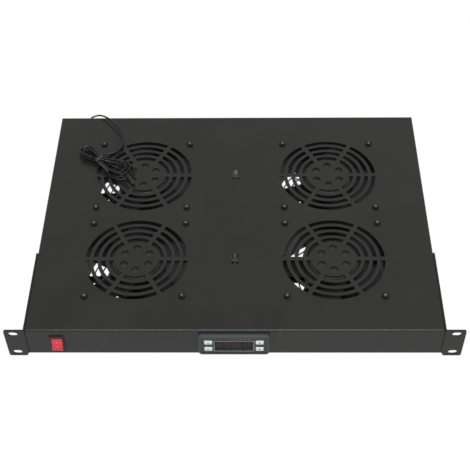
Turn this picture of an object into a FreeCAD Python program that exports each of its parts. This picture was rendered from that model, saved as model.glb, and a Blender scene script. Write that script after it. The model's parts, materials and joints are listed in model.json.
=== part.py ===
import FreeCAD, Part
import math
import os

import Sketcher
from FreeCAD import Placement, Rotation, Vector

# Rack fan tray for a 19-inch cabinet: a folded steel pan that hangs from two rack ears and
# blows through four punched vents, with a rocker switch and a thermostat on its front.
# Frame: the origin is the centre of the four rack slots, on the ears' front face.
# +X points to the right as seen from the front, +Y into the cabinet and +Z up. Millimetres.

SIZES = {
    # rack ears
    "slot_pitch_x": 465.1,
    "slot_pitch_z": 31.75,
    "slot_wide": 10.0,
    "slot_high": 7.0,
    "ear_span": 484.2,
    "ear_high": 44.0,
    "ear_thick": 2.0,
    "ear_bend": 2.5,
    "ear_round": 2.2,
    "ear_arm_long": 107.0,
    "ear_arm_high": 40.0,
    "ear_screw_first": 22.0,
    "ear_screw_pitch": 36.0,
    # folded pan
    "pan_wide": 439.0,
    "pan_deep": 330.0,
    "pan_high": 40.0,
    "pan_setback": 0.4,
    "pan_above_centre": 22.5,
    "sheet": 1.2,
    "pan_bend": 2.0,
    # vents over the fans
    "fan_pitch_x": 218.0,
    "fan_pitch_y": 130.0,
    "fan_front_inset": 98.0,
    "ring_first": 27.7,
    "ring_pitch": 8.9,
    "ring_slot": 4.9,
    "web_wide": 5.2,
    "eye_circle": 15.5,
    "eye_hole": 8.7,
    # lanced bridges that the cable ties go round
    "bridge_long": 15.0,
    "bridge_wide": 4.6,
    "bridge_slit": 1.2,
    "bridge_drop": 3.4,
    # fans
    "fan_side": 120.0,
    "fan_deep": 38.0,
    "fan_corner": 4.0,
    "fan_flange": 4.5,
    "fan_hole_pitch": 105.0,
    "fan_hole": 4.3,
    "fan_bore": 115.0,
    "fan_wall": 2.4,
    "motor_base": 64.0,
    "motor_base_thick": 3.5,
    "strut_wide": 7.0,
    "strut_thick": 4.5,
    "blade_tip_gap": 1.5,
    "blade_chord": 46.0,
    "blade_high": 25.0,
    "blade_camber": 5.0,
    "blade_thick": 2.0,
    "hub_wide": 63.0,
    "hub_top_gap": 2.2,
    "hub_base_gap": 3.0,
    "hub_wall": 2.2,
    "hub_edge": 1.2,
    "hub_boss": 12.0,
    "shaft_wide": 5.0,
    "shaft_running_gap": 0.05,
    "bearing_wide": 10.0,
    "bearing_long": 5.0,
    "tube_wall": 3.0,
    "stator_gap": 2.4,
    "stator_high": 17.0,
    # screws
    "screw_wide": 4.0,
    "screw_head_wide": 7.8,
    "screw_head_high": 2.4,
    "fan_screw_long": 12.0,
    "ear_screw_long": 8.0,
    "nut_flats": 7.0,
    "nut_high": 3.2,
    # thermostat
    "control_x": -0.4,
    "control_z": 0.5,
    "bezel_wide": 75.0,
    "bezel_high": 34.6,
    "bezel_thick": 4.0,
    "bezel_bevel": 1.8,
    "bezel_rim": 3.4,
    "bezel_recess": 0.8,
    "bezel_round": 3.0,
    "case_wide": 70.0,
    "case_high": 28.0,
    "case_deep": 56.0,
    "case_wall": 1.5,
    "cutout_gap": 0.5,
    "window_wide": 40.6,
    "window_high": 16.3,
    "window_thick": 1.5,
    "window_rim": 1.6,
    "window_rim_proud": 0.5,
    "face_drop": 0.8,
    "key_wide": 8.6,
    "key_high": 6.2,
    "key_pitch_x": 54.4,
    "key_pitch_z": 11.5,
    "key_proud": 0.6,
    "key_gap": 0.25,
    "key_deep": 3.0,
    "key_stem": 3.0,
    "key_travel": 0.5,
    "board_inset": 9.0,
    "board_thick": 1.6,
    "display_wide": 38.0,
    "display_high": 14.0,
    "clip_long": 13.0,
    "clip_high": 12.0,
    "clip_thick": 4.0,
    "terminal_wide": 60.0,
    "terminal_high": 10.0,
    "terminal_deep": 8.0,
    # rocker switch
    "switch_x": -187.6,
    "switch_z": 0.0,
    "switch_wide": 15.5,
    "switch_high": 25.0,
    "switch_rim": 2.0,
    "switch_body_wide": 13.2,
    "switch_body_high": 22.2,
    "switch_body_deep": 17.0,
    "switch_wall": 0.7,
    "rocker_radius": 9.8,
    "rocker_rise": 4.4,
    "rocker_dish": 10.0,
    "rocker_swing": 24.0,
    "rocker_gap": 0.3,
    "rocker_pivot_depth": 4.2,
    "trunnion_wide": 2.6,
    "tab_wide": 4.8,
    "tab_thick": 0.8,
    "tab_long": 8.0,
    # appliance inlet
    "inlet_x": 0.0,
    "inlet_z": 2.5,
    "inlet_flange_wide": 50.0,
    "inlet_flange_high": 23.0,
    "inlet_flange_thick": 3.4,
    "inlet_screw_pitch": 40.0,
    "inlet_body_wide": 27.4,
    "inlet_body_high": 19.6,
    "inlet_body_deep": 22.0,
    "inlet_cavity_wide": 24.6,
    "inlet_cavity_high": 16.6,
    "inlet_cavity_deep": 17.0,
    "inlet_corner": 4.5,
    "pin_pitch": 14.0,
    "pin_thick": 2.0,
    "pin_high": 4.0,
    "pin_long": 12.0,
    "inlet_screw_wide": 3.0,
    "inlet_head_wide": 5.6,
    "inlet_head_high": 1.8,
    # wiring
    "mains_lead_wide": 7.6,
    "fan_lead_wide": 4.0,
    "block_wide": 56.0,
    "block_long": 30.0,
    "block_high": 14.0,
    "tie_wide": 3.6,
    "tie_thick": 1.0,
    # sensor lead
    "sensor_x": -188.0,
    "sensor_z": 5.0,
    "sensor_wide": 2.2,
    "grommet_hole": 8.0,
    "grommet_lip": 1.6,
    "grommet_lip_thick": 1.2,
    "probe_wide": 5.0,
    "probe_long": 22.0,
    "hank_thick": 9.0,
}

# rest angle of each impeller about its own shaft, degrees
FANS = {
    "front_left": (-1, 0, 6.0),
    "front_right": (1, 0, 33.0),
    "rear_left": (-1, 1, 12.0),
    "rear_right": (1, 1, 57.0),
}
BLADES = 5
STRUTS = 4
VENT_WEBS = 6
VENT_RINGS = 4

doc = FreeCAD.newDocument("rack_fan_tray")
sheet = doc.addObject("Spreadsheet::Sheet", "sizes")
for row, (alias, size) in enumerate(SIZES.items(), start=1):
    sheet.set(f"A{row}", alias.replace("_", " "))
    sheet.set(f"B{row}", str(size))
    sheet.setAlias(f"B{row}", alias)
doc.recompute()


class Dim:
    """A length that knows its number and the sheet formula that gives it."""

    def __init__(self, number, formula=None):
        self.number = float(number)
        self.formula = formula if formula else repr(float(number))

    def _with(self, other, sign, result):
        other = other if isinstance(other, Dim) else Dim(other)
        return Dim(result(self.number, other.number), f"({self.formula} {sign} {other.formula})")

    def __add__(self, other):
        return self._with(other, "+", lambda a, b: a + b)

    def __sub__(self, other):
        return self._with(other, "-", lambda a, b: a - b)

    def __mul__(self, other):
        return self._with(other, "*", lambda a, b: a * b)

    def __truediv__(self, other):
        return self._with(other, "/", lambda a, b: a / b)

    def __neg__(self):
        return Dim(-self.number, f"(0 - {self.formula})")

    def __float__(self):
        return self.number

    __rmul__ = __mul__
    __radd__ = __add__


def size(alias):
    """A driving size, read from the sheet."""
    return Dim(sheet.get(alias), f"sizes.{alias}")


def dim(value):
    return value if isinstance(value, Dim) else Dim(value)


def bind(thing, prop, value):
    """Set a property to a length and tie it to the sheet."""
    value = dim(value)
    setattr(thing, prop, value.number)
    if "sizes." in value.formula:
        thing.setExpression(prop, value.formula)


# ---- places that several sub-parts share ----
PAN_TOP = size("pan_above_centre")
PAN_UNDER = PAN_TOP - size("sheet")
PAN_BOTTOM = PAN_TOP - size("pan_high")
PAN_FRONT = size("pan_setback")
PAN_INNER_FRONT = PAN_FRONT + size("sheet")
PAN_REAR = PAN_FRONT + size("pan_deep")
PAN_INNER_REAR = PAN_REAR - size("sheet")
PAN_HALF = size("pan_wide") / 2
HOLE_HALF = size("fan_hole_pitch") / 2
CONTROL_X = size("control_x")
CONTROL_Z = size("control_z")
SENSOR_RADIUS = size("sensor_wide") / 2
HUB_RADIUS = size("hub_wide") / 2
BORE_RADIUS = size("fan_bore") / 2
MAINS_RADIUS = size("mains_lead_wide") / 2
BRIDGE_UNDER = PAN_UNDER - size("bridge_drop")
TRUNK_Z = BRIDGE_UNDER - MAINS_RADIUS
BLOCK_Y = PAN_FRONT + size("fan_front_inset") + size("fan_pitch_y") / 2


def fan_centre(name):
    side, row, _ = FANS[name]
    x = size("fan_pitch_x") / 2 * side
    y = PAN_FRONT + size("fan_front_inset") + size("fan_pitch_y") * row
    return x, y


BRIDGE_PLACES = [PAN_FRONT + size("fan_front_inset") + size("fan_pitch_y") * row for row in (0, 1)]

NODES = {}


def node(thing, name):
    """Label an object as the sub-part that it is, and keep it for the export."""
    thing.Label = name
    NODES[name] = thing
    return thing


# ---- sketch and feature helpers ----
def new_body(name):
    return node(doc.addObject("PartDesign::Body", "Body_" + name), name)


def sketch(body, name, role, level=0.0, x=None, y=None):
    """A sketch on one of the body's own planes, moved along its normal and in its plane."""
    plane = next(f for f in body.Origin.OriginFeatures if f.Role == role)
    made = body.newObject("Sketcher::SketchObject", name)
    made.AttachmentSupport = [(plane, "")]
    made.MapMode = "FlatFace"
    shift = [dim(x or 0.0), dim(y or 0.0), dim(level)]
    made.AttachmentOffset = Placement(Vector(*[s.number for s in shift]), Rotation())
    for axis, value in zip("xyz", shift):
        if "sizes." in value.formula:
            made.setExpression(f".AttachmentOffset.Base.{axis}", value.formula)
    return made


def datum(made, kind, first, first_end, second, second_end, value):
    """A dimension between two points of a sketch, tied to the sheet."""
    value = dim(value)
    index = made.addConstraint(
        Sketcher.Constraint(kind, first, first_end, second, second_end, value.number)
    )
    if "sizes." in value.formula:
        made.setExpression(f"Constraints[{index}]", value.formula)


def at(made, geometry, end, x, y):
    datum(made, "DistanceX", -1, 1, geometry, end, x)
    datum(made, "DistanceY", -1, 1, geometry, end, y)


def polygon(made, points):
    """A closed run of lines through points given as lengths."""
    base = made.GeometryCount
    count = len(points)
    places = [Vector(float(x), float(y), 0) for x, y in points]
    for i in range(count):
        made.addGeometry(Part.LineSegment(places[i], places[(i + 1) % count]))
    for i in range(count):
        made.addConstraint(
            Sketcher.Constraint("Coincident", base + i, 2, base + (i + 1) % count, 1)
        )
        at(made, base + i, 1, *points[i])


def rectangle(made, wide, high, x=0.0, y=0.0):
    x, y, wide, high = dim(x), dim(y), dim(wide), dim(high)
    left, right = x - wide / 2, x + wide / 2
    low, top = y - high / 2, y + high / 2
    polygon(made, [(left, low), (right, low), (right, top), (left, top)])


def circle(made, radius, x=0.0, y=0.0):
    x, y, radius = dim(x), dim(y), dim(radius)
    made.addGeometry(Part.Circle(Vector(x.number, y.number, 0), Vector(0, 0, 1), radius.number))
    index = made.GeometryCount - 1
    radial = made.addConstraint(Sketcher.Constraint("Radius", index, radius.number))
    if "sizes." in radius.formula:
        made.setExpression(f"Constraints[{radial}]", radius.formula)
    at(made, index, 3, x, y)


def long_slot(made, wide, high, x, y):
    """A slot with round ends, its length along the sketch's X."""
    reach, radius = (wide - high) / 2, high / 2
    left, right = float(x - reach), float(x + reach)
    mid, r = float(y), float(radius)
    base = made.GeometryCount
    right_end = Part.Circle(Vector(right, mid, 0), Vector(0, 0, 1), r)
    left_end = Part.Circle(Vector(left, mid, 0), Vector(0, 0, 1), r)
    made.addGeometry(Part.ArcOfCircle(right_end, -math.pi / 2, math.pi / 2))
    made.addGeometry(Part.LineSegment(Vector(right, mid + r, 0), Vector(left, mid + r, 0)))
    made.addGeometry(Part.ArcOfCircle(left_end, math.pi / 2, 3 * math.pi / 2))
    made.addGeometry(Part.LineSegment(Vector(left, mid - r, 0), Vector(right, mid - r, 0)))
    for i in range(4):
        made.addConstraint(Sketcher.Constraint("Tangent", base + i, 2, base + (i + 1) % 4, 1))
    at(made, base, 3, x + reach, y)
    at(made, base + 2, 3, x - reach, y)
    radial = made.addConstraint(Sketcher.Constraint("Radius", base, r))
    made.setExpression(f"Constraints[{radial}]", radius.formula)


def pad(body, name, profile, length, reverse=False):
    made = body.newObject("PartDesign::Pad", name)
    made.Profile = profile
    bind(made, "Length", length)
    made.Reversed = reverse
    doc.recompute()
    return made


def pocket(body, name, profile, length, reverse=False):
    """A cut that must take something away."""
    before = body.Shape.Volume
    made = body.newObject("PartDesign::Pocket", name)
    made.Profile = profile
    bind(made, "Length", length)
    made.Reversed = reverse
    doc.recompute()
    if body.Shape.Volume > before - 1e-6:
        raise RuntimeError(f"{name} of {body.Label} cuts nothing")
    return made


def edges_where(feature, test):
    return [f"Edge{i}" for i, e in enumerate(feature.Shape.Edges, start=1) if test(e)]


def round_edges(body, name, base, radius, test):
    made = body.newObject("PartDesign::Fillet", name)
    made.Base = (base, edges_where(base, test))
    bind(made, "Radius", radius)
    doc.recompute()
    return made


def bevel_edges(body, name, base, width, test):
    made = body.newObject("PartDesign::Chamfer", name)
    made.Base = (base, edges_where(base, test))
    bind(made, "Size", width)
    doc.recompute()
    return made


def around(body, name, feature, profile, count):
    """Copies of a feature about the normal through its sketch's origin."""
    made = body.newObject("PartDesign::PolarPattern", name)
    made.Originals = [feature]
    made.Axis = (profile, ["N_Axis"])
    made.Angle = 360
    made.Occurrences = count
    body.Tip = made
    doc.recompute()
    return made


def is_line_along(edge, axis):
    if type(edge.Curve).__name__ != "Line":
        return False
    run = edge.Vertexes[-1].Point - edge.Vertexes[0].Point
    return abs(run.normalize().dot(axis)) > 0.999


def lies_at(edge, axis, level):
    box = edge.BoundBox
    low, high = {"x": (box.XMin, box.XMax), "y": (box.YMin, box.YMax), "z": (box.ZMin, box.ZMax)}[axis]
    return abs(low - float(level)) < 1e-3 and abs(high - float(level)) < 1e-3


def place(thing, x=0.0, y=0.0, z=0.0, turn=0.0):
    """Move a finished sub-part from its own frame to its place in the tray."""
    shift = [dim(x), dim(y), dim(z)]
    thing.Placement = Placement(Vector(*[s.number for s in shift]), Rotation(Vector(0, 0, 1), turn))
    for axis, value in zip("xyz", shift):
        if "sizes." in value.formula:
            thing.setExpression(f".Placement.Base.{axis}", value.formula)


def solids_node(name, solids):
    """A sub-part made of Part solids; more than one makes a group of like pieces."""
    made = doc.addObject("Part::Feature", "Piece_" + name)
    made.Shape = solids[0] if len(solids) == 1 else Part.makeCompound(solids)
    return node(made, name)


# ---- folded pan ----
def vent_sector(body, name, fan):
    """The slots of one sector of a vent: four arcs of ring between two straight webs."""
    x, y = fan_centre(fan)
    made = sketch(body, name, "XY_Plane", PAN_TOP, x, y)
    half_web = size("web_wide") / 2
    sector = 2 * math.pi / VENT_WEBS
    for ring in range(VENT_RINGS):
        middle = size("ring_first") + size("ring_pitch") * ring
        inner, outer = middle - size("ring_slot") / 2, middle + size("ring_slot") / 2
        base = made.GeometryCount
        ends = []
        for radius in (inner, outer):
            lean = math.asin(float(half_web) / float(radius))
            whole = Part.Circle(Vector(), Vector(0, 0, 1), float(radius))
            arc = Part.ArcOfCircle(whole, lean, sector - lean)
            made.addGeometry(arc)
            ends.append((arc.StartPoint, arc.EndPoint))
        made.addGeometry(Part.LineSegment(ends[0][0], ends[1][0]))
        made.addGeometry(Part.LineSegment(ends[0][1], ends[1][1]))
        for arc, radius in ((base, inner), (base + 1, outer)):
            made.addConstraint(Sketcher.Constraint("Coincident", arc, 3, -1, 1))
            radial = made.addConstraint(Sketcher.Constraint("Radius", arc, float(radius)))
            made.setExpression(f"Constraints[{radial}]", radius.formula)
        for line, end in ((base + 2, 1), (base + 3, 2)):
            made.addConstraint(Sketcher.Constraint("Coincident", line, 1, base, end))
            made.addConstraint(Sketcher.Constraint("Coincident", line, 2, base + 1, end))
        made.addConstraint(Sketcher.Constraint("Horizontal", base + 2))
        datum(made, "DistanceY", -1, 1, base + 2, 1, half_web)
        made.addConstraint(Sketcher.Constraint("Angle", base + 3, sector))
        gap = made.addConstraint(
            Sketcher.Constraint("Distance", -1, 1, base + 3, float(half_web))
        )
        made.setExpression(f"Constraints[{gap}]", half_web.formula)
    return made


def top_panel():
    """Steel sheet folded down on four sides, punched for the vents and the controls."""
    body = new_body("top_panel")
    mid_y = PAN_FRONT + size("pan_deep") / 2
    outline = sketch(body, "pan_outline", "XY_Plane", PAN_BOTTOM)
    rectangle(outline, size("pan_wide"), size("pan_deep"), 0, mid_y)
    block = pad(body, "pan_block", outline, size("pan_high"))
    bends = round_edges(
        body, "pan_bends", block, size("pan_bend"), lambda e: lies_at(e, "z", PAN_TOP)
    )
    shell = body.newObject("PartDesign::Thickness", "pan_shell")
    bottoms = [
        f"Face{i}"
        for i, f in enumerate(bends.Shape.Faces, start=1)
        if abs(f.BoundBox.ZMax - float(PAN_BOTTOM)) < 1e-3
    ]
    shell.Base = (bends, bottoms)
    bind(shell, "Value", size("sheet"))
    shell.Reversed = True
    doc.recompute()

    through = size("sheet") * 2
    eye_radius = size("eye_hole") / 2
    screw_hole = size("fan_hole") / 2
    for fan in FANS:
        x, y = fan_centre(fan)
        slots = vent_sector(body, f"{fan}_sector", fan)
        cut = pocket(body, f"{fan}_slots", slots, through)
        around(body, f"{fan}_vent", cut, slots, VENT_WEBS)
        holes = sketch(body, f"{fan}_hole_plan", "XY_Plane", PAN_TOP, x, y)
        for k in range(VENT_WEBS):
            turn = math.radians(90 + k * 360 / VENT_WEBS)
            reach_x = size("eye_circle") * round(math.cos(turn), 9)
            reach_y = size("eye_circle") * round(math.sin(turn), 9)
            circle(holes, eye_radius, reach_x, reach_y)
        for side_x in (-1, 1):
            for side_y in (-1, 1):
                circle(holes, screw_hole, HOLE_HALF * side_x, HOLE_HALF * side_y)
        pocket(body, f"{fan}_holes", holes, through)

    # windows of the bridges, then the pressed-down strips across them
    window_wide = size("bridge_wide") + size("bridge_slit") * 2
    for i, y in enumerate(BRIDGE_PLACES):
        window = sketch(body, f"bridge_window_{i}", "XY_Plane", PAN_TOP)
        rectangle(window, window_wide, size("bridge_long"), 0, y)
        pocket(body, f"bridge_cut_{i}", window, through)
        strip = sketch(body, f"bridge_line_{i}", "YZ_Plane", -size("bridge_wide") / 2)
        half, drop, thick = size("bridge_long") / 2, size("bridge_drop"), size("sheet")
        flat = half - drop
        polygon(
            strip,
            [
                (y - half, PAN_TOP),
                (y - half, PAN_UNDER),
                (y - flat, PAN_UNDER - drop),
                (y + flat, PAN_UNDER - drop),
                (y + half, PAN_UNDER),
                (y + half, PAN_TOP),
                (y + flat, PAN_TOP - drop),
                (y - flat, PAN_TOP - drop),
            ],
        )
        pad(body, f"bridge_{i}", strip, size("bridge_wide"))

    # front wall: thermostat and switch; rear wall: inlet and sensor grommet
    front = sketch(body, "front_cutouts", "XZ_Plane", -(PAN_FRONT - 1))
    gap = size("cutout_gap") * 2
    rectangle(front, size("case_wide") + gap, size("case_high") + gap, CONTROL_X, CONTROL_Z)
    rectangle(
        front,
        size("switch_body_wide") + gap / 2,
        size("switch_body_high") + gap / 2,
        size("switch_x"),
        size("switch_z"),
    )
    pocket(body, "front_openings", front, size("sheet") + 2)
    rear = sketch(body, "rear_cutouts", "XZ_Plane", -(PAN_INNER_REAR - 1))
    rectangle(
        rear,
        size("inlet_body_wide") + gap / 2,
        size("inlet_body_high") + gap / 2,
        size("inlet_x"),
        size("inlet_z"),
    )
    for side in (-1, 1):
        circle(
            rear,
            size("inlet_screw_wide") / 2 + 0.15,
            size("inlet_x") + size("inlet_screw_pitch") / 2 * side,
            size("inlet_z"),
        )
    circle(rear, size("grommet_hole") / 2, size("sensor_x"), size("sensor_z"))
    pocket(body, "rear_openings", rear, size("sheet") + 2)

    # holes for the ears' screws, right through both side walls
    sides = sketch(body, "side_holes", "YZ_Plane", PAN_HALF + 1)
    for k in range(3):
        circle(sides, size("fan_hole") / 2, *ear_screw_place(k))
    pocket(body, "side_openings", sides, size("pan_wide") + 2)
    return body


def ear_screw_place(k):
    """Place of an ear's screw, as (y, z)."""
    return size("ear_screw_first") + size("ear_screw_pitch") * k, PAN_TOP - size("pan_high") / 2


def rack_ear(side):
    """Steel angle: a slotted flange in front of the rack rail and an arm along the pan."""
    name = "left_rack_ear" if side < 0 else "right_rack_ear"
    body = new_body(name)
    thick, inner, outer = size("ear_thick"), PAN_HALF * side, size("ear_span") / 2 * side
    arm = inner + thick * side
    section = sketch(body, "ear_section", "XY_Plane", -size("ear_high") / 2)
    corners = [
        (inner, Dim(0)),
        (outer, Dim(0)),
        (outer, thick),
        (arm, thick),
        (arm, size("ear_arm_long")),
        (inner, size("ear_arm_long")),
    ]
    polygon(section, corners if side > 0 else corners[::-1])
    block = pad(body, "ear_block", section, size("ear_high"))
    vertical = Vector(0, 0, 1)

    def at_corner(edge, x, y):
        mid = edge.CenterOfMass
        return (
            is_line_along(edge, vertical)
            and abs(mid.x - float(x)) < 1e-3
            and abs(mid.y - float(y)) < 1e-3
        )

    bend = round_edges(
        body, "ear_outer_bend", block, size("ear_bend"), lambda e: at_corner(e, inner, 0)
    )
    round_edges(
        body,
        "ear_inner_bend",
        bend,
        size("ear_bend") - thick,
        lambda e: at_corner(e, arm, thick),
    )
    # the arm is lower than the flange: cut away under it, past the bend
    arm_bottom = PAN_TOP - 0.5 - size("ear_arm_high")
    under = sketch(body, "arm_under", "XZ_Plane", Dim(1))
    middle = inner + size("ear_bend") / 2 * side
    rectangle(
        under,
        size("ear_bend") + 1,
        size("ear_high") / 2 + arm_bottom + 1,
        middle - 0.5 * side,
        (arm_bottom - size("ear_high") / 2 - 1) / 2,
    )
    pocket(body, "arm_under_cut", under, size("ear_arm_long") + 2)
    slots = sketch(body, "slot_plan", "XZ_Plane", Dim(1))
    for up in (-1, 1):
        long_slot(
            slots,
            size("slot_wide"),
            size("slot_high"),
            size("slot_pitch_x") / 2 * side,
            size("slot_pitch_z") / 2 * up,
        )
    pocket(body, "slots", slots, thick + 2)
    holes = sketch(body, "arm_holes", "YZ_Plane", inner - thick * side)
    for k in range(3):
        circle(holes, size("fan_hole") / 2, *ear_screw_place(k))
    drilled = pocket(body, "arm_drilling", holes, thick * 3, reverse=side > 0)
    across = Vector(0, 1, 0)
    round_edges(
        body,
        "flange_corners",
        drilled,
        size("ear_round"),
        lambda e: is_line_along(e, across)
        and e.Length < float(thick) + 1e-3
        and abs(abs(e.CenterOfMass.z) - float(size("ear_high")) / 2) < 1e-3
        and abs(e.CenterOfMass.x - float(inner)) > 1,
    )
    return body


# ---- fans ----
def fan_frame(fan):
    """Die-cast square frame: two flanges, a round waist, and a motor base on four struts."""
    body = new_body(f"{fan}_fan_frame")
    outline = sketch(body, "outline", "XY_Plane")
    rectangle(outline, size("fan_side"), size("fan_side"))
    block = pad(body, "block", outline, size("fan_deep"), reverse=True)
    vertical = Vector(0, 0, 1)
    round_edges(
        body, "corners", block, size("fan_corner"), lambda e: is_line_along(e, vertical)
    )
    waist = sketch(body, "waist_plan", "XY_Plane", -size("fan_flange"))
    rectangle(waist, size("fan_side") + 10, size("fan_side") + 10)
    circle(waist, BORE_RADIUS + size("fan_wall"))
    pocket(body, "waist", waist, size("fan_deep") - size("fan_flange") * 2)
    bore = sketch(body, "bore_plan", "XY_Plane")
    circle(bore, BORE_RADIUS)
    for side_x in (-1, 1):
        for side_y in (-1, 1):
            circle(bore, size("fan_hole") / 2, HOLE_HALF * side_x, HOLE_HALF * side_y)
    pocket(body, "bore", bore, size("fan_deep") + 1)

    strut = sketch(body, "strut_plan", "XY_Plane", -size("fan_deep"))
    inside, outside = size("motor_base") / 2 - 2, BORE_RADIUS + size("fan_wall") / 2
    half = size("strut_wide") / 2
    polygon(strut, [(inside, -half), (outside, -half), (outside, half), (inside, half)])
    first = pad(body, "strut", strut, size("strut_thick"))
    struts = around(body, "struts", first, strut, STRUTS)
    base = sketch(body, "base_plan", "XY_Plane", -size("fan_deep"))
    circle(base, size("motor_base") / 2)
    pad(body, "motor_base", base, size("motor_base_thick"))
    tube = sketch(body, "tube_plan", "XY_Plane", -size("fan_deep"))
    circle(tube, size("bearing_wide") / 2 + size("tube_wall"))
    pad(body, "bearing_tube", tube, size("fan_deep") - bearing_top())
    hollow = sketch(body, "tube_bore_plan", "XY_Plane", -bearing_top() + 1)
    circle(hollow, size("bearing_wide") / 2)
    pocket(body, "tube_bore", hollow, size("fan_deep") + 1)
    return body


def bearing_top():
    """Depth of the bearing tube's top below the fan's upper face."""
    return size("hub_top_gap") + size("hub_wall") + size("hub_boss") / 2


def hub_depth():
    """Depth of the hub's lower rim below the fan's upper face."""
    return size("fan_deep") - size("motor_base_thick") - size("hub_base_gap")


def blade_section(body, name, reach):
    """Cambered blade section on a plane square to the blade's own radius."""
    made = sketch(body, name, "YZ_Plane", reach, None, -blade_middle())
    half_y, half_z = float(size("blade_chord")) / 2, float(size("blade_high")) / 2
    length = math.hypot(half_y, half_z)
    normal = Vector(-half_z / length, half_y / length, 0)
    lead, trail = Vector(half_y, half_z, 0), Vector(-half_y, -half_z, 0)
    half_thick = normal * (float(size("blade_thick")) / 2)
    bulge = normal * float(size("blade_camber"))
    made.addGeometry(Part.Arc(lead + half_thick, bulge + half_thick, trail + half_thick))
    made.addGeometry(Part.LineSegment(trail + half_thick, trail - half_thick))
    made.addGeometry(Part.Arc(trail - half_thick, bulge - half_thick, lead - half_thick))
    made.addGeometry(Part.LineSegment(lead - half_thick, lead + half_thick))
    return made


def blade_middle():
    """Depth of the middle of the blades below the fan's upper face."""
    return (size("hub_top_gap") + hub_depth()) / 2


def fan_impeller(fan):
    """Cup-shaped hub with cambered blades, open below to take the stator."""
    body = new_body(f"{fan}_impeller")
    plan = sketch(body, "hub_plan", "XY_Plane", -size("hub_top_gap"))
    circle(plan, HUB_RADIUS)
    hub = pad(body, "hub", plan, hub_depth() - size("hub_top_gap"), reverse=True)
    top = -float(size("hub_top_gap"))
    bevel_edges(body, "hub_edge", hub, size("hub_edge"), lambda e: lies_at(e, "z", top))

    root = blade_section(body, "blade_section", HUB_RADIUS * 0.6)
    blade = pad(body, "blade", root, BORE_RADIUS - HUB_RADIUS * 0.6)
    around(body, "blades", blade, plan, BLADES)
    tips = sketch(body, "tip_plan", "XY_Plane", Dim(1))
    circle(tips, BORE_RADIUS - size("blade_tip_gap"))
    circle(tips, BORE_RADIUS * 2)
    pocket(body, "tip_trim", tips, size("fan_deep") + 2)

    cup = sketch(body, "cup_plan", "XY_Plane", -size("fan_deep"))
    circle(cup, HUB_RADIUS - size("hub_wall"))
    circle(cup, size("hub_boss") / 2)
    roof = size("fan_deep") - size("hub_top_gap") - size("hub_wall")
    pocket(body, "cup", cup, roof, reverse=True)
    boss = sketch(body, "boss_plan", "XY_Plane", -size("fan_deep"))
    circle(boss, size("hub_boss") / 2 + 0.01)
    boss_bottom = bearing_top() - 1.5
    pocket(body, "boss_trim", boss, size("fan_deep") - boss_bottom, reverse=True)
    seat = sketch(body, "shaft_seat_plan", "XY_Plane", -size("fan_deep"))
    circle(seat, size("shaft_wide") / 2)
    pocket(body, "shaft_seat", seat, roof, reverse=True)
    return body


def fan_shaft(fan):
    made = doc.addObject("Part::Cylinder", f"Piece_{fan}_shaft")
    bind(made, "Radius", size("shaft_wide") / 2)
    bottom = size("fan_deep") - 0.8
    bind(made, "Height", bottom - size("hub_top_gap") - size("hub_wall"))
    return node(made, f"{fan}_shaft"), -bottom


def fan_stator(fan):
    """Wound stator pack, seated on the motor base round the bearing tube."""
    body = new_body(f"{fan}_stator")
    plan = sketch(body, "stator_plan", "XY_Plane")
    circle(plan, HUB_RADIUS - size("hub_wall") - size("stator_gap"))
    circle(plan, size("bearing_wide") / 2 + size("tube_wall"))
    pad(body, "stator", plan, size("stator_high"))
    return body, -(size("fan_deep") - size("motor_base_thick"))


def ring(outer, inner, long):
    return Part.makeCylinder(float(outer), float(long)).cut(
        Part.makeCylinder(float(inner), float(long))
    )


def moved(shape, x=0.0, y=0.0, z=0.0):
    copy = shape.copy()
    copy.translate(Vector(float(x), float(y), float(z)))
    return copy


def fan_bearings():
    """Two sleeve bearings in each fan's tube."""
    sleeve = ring(
        size("bearing_wide") / 2,
        size("shaft_wide") / 2 + size("shaft_running_gap"),
        size("bearing_long"),
    )
    made = []
    for fan in FANS:
        x, y = fan_centre(fan)
        upper = PAN_UNDER - bearing_top() - size("bearing_long")
        lower = PAN_UNDER - size("fan_deep") + 1
        made += [moved(sleeve, x, y, upper), moved(sleeve, x, y, lower)]
    solids_node("fan_bearings", made)


# ---- fasteners ----
def pan_screw(length, axis, wide="screw_wide", head="screw_head_wide", high="screw_head_high"):
    """Pan-head screw: the head's seat at the origin, the shank along the axis."""
    shank = Part.makeCylinder(float(size(wide)) / 2, float(length), Vector(), axis)
    cap = Part.makeCylinder(float(size(head)) / 2, float(size(high)), Vector(), -axis)
    rim = [e for e in cap.Edges if e.Closed and (e.CenterOfMass + axis * float(size(high))).Length < 1e-6]
    return cap.makeChamfer(float(size(high)) / 3, rim).fuse(shank).removeSplitter()


def hex_nut(axis):
    """M4 nut: its seat at the origin, its height along the axis."""
    corner = float(size("nut_flats")) / math.sqrt(3)
    points = [
        Vector(corner * math.cos(math.pi * k / 3), corner * math.sin(math.pi * k / 3), 0)
        for k in range(7)
    ]
    nut = Part.Face(Part.makePolygon(points)).extrude(Vector(0, 0, float(size("nut_high"))))
    nut = nut.cut(Part.makeCylinder(float(size("screw_wide")) / 2, float(size("nut_high"))))
    nut.Placement = Placement(Vector(), Rotation(Vector(0, 0, 1), axis))
    return nut


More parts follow.
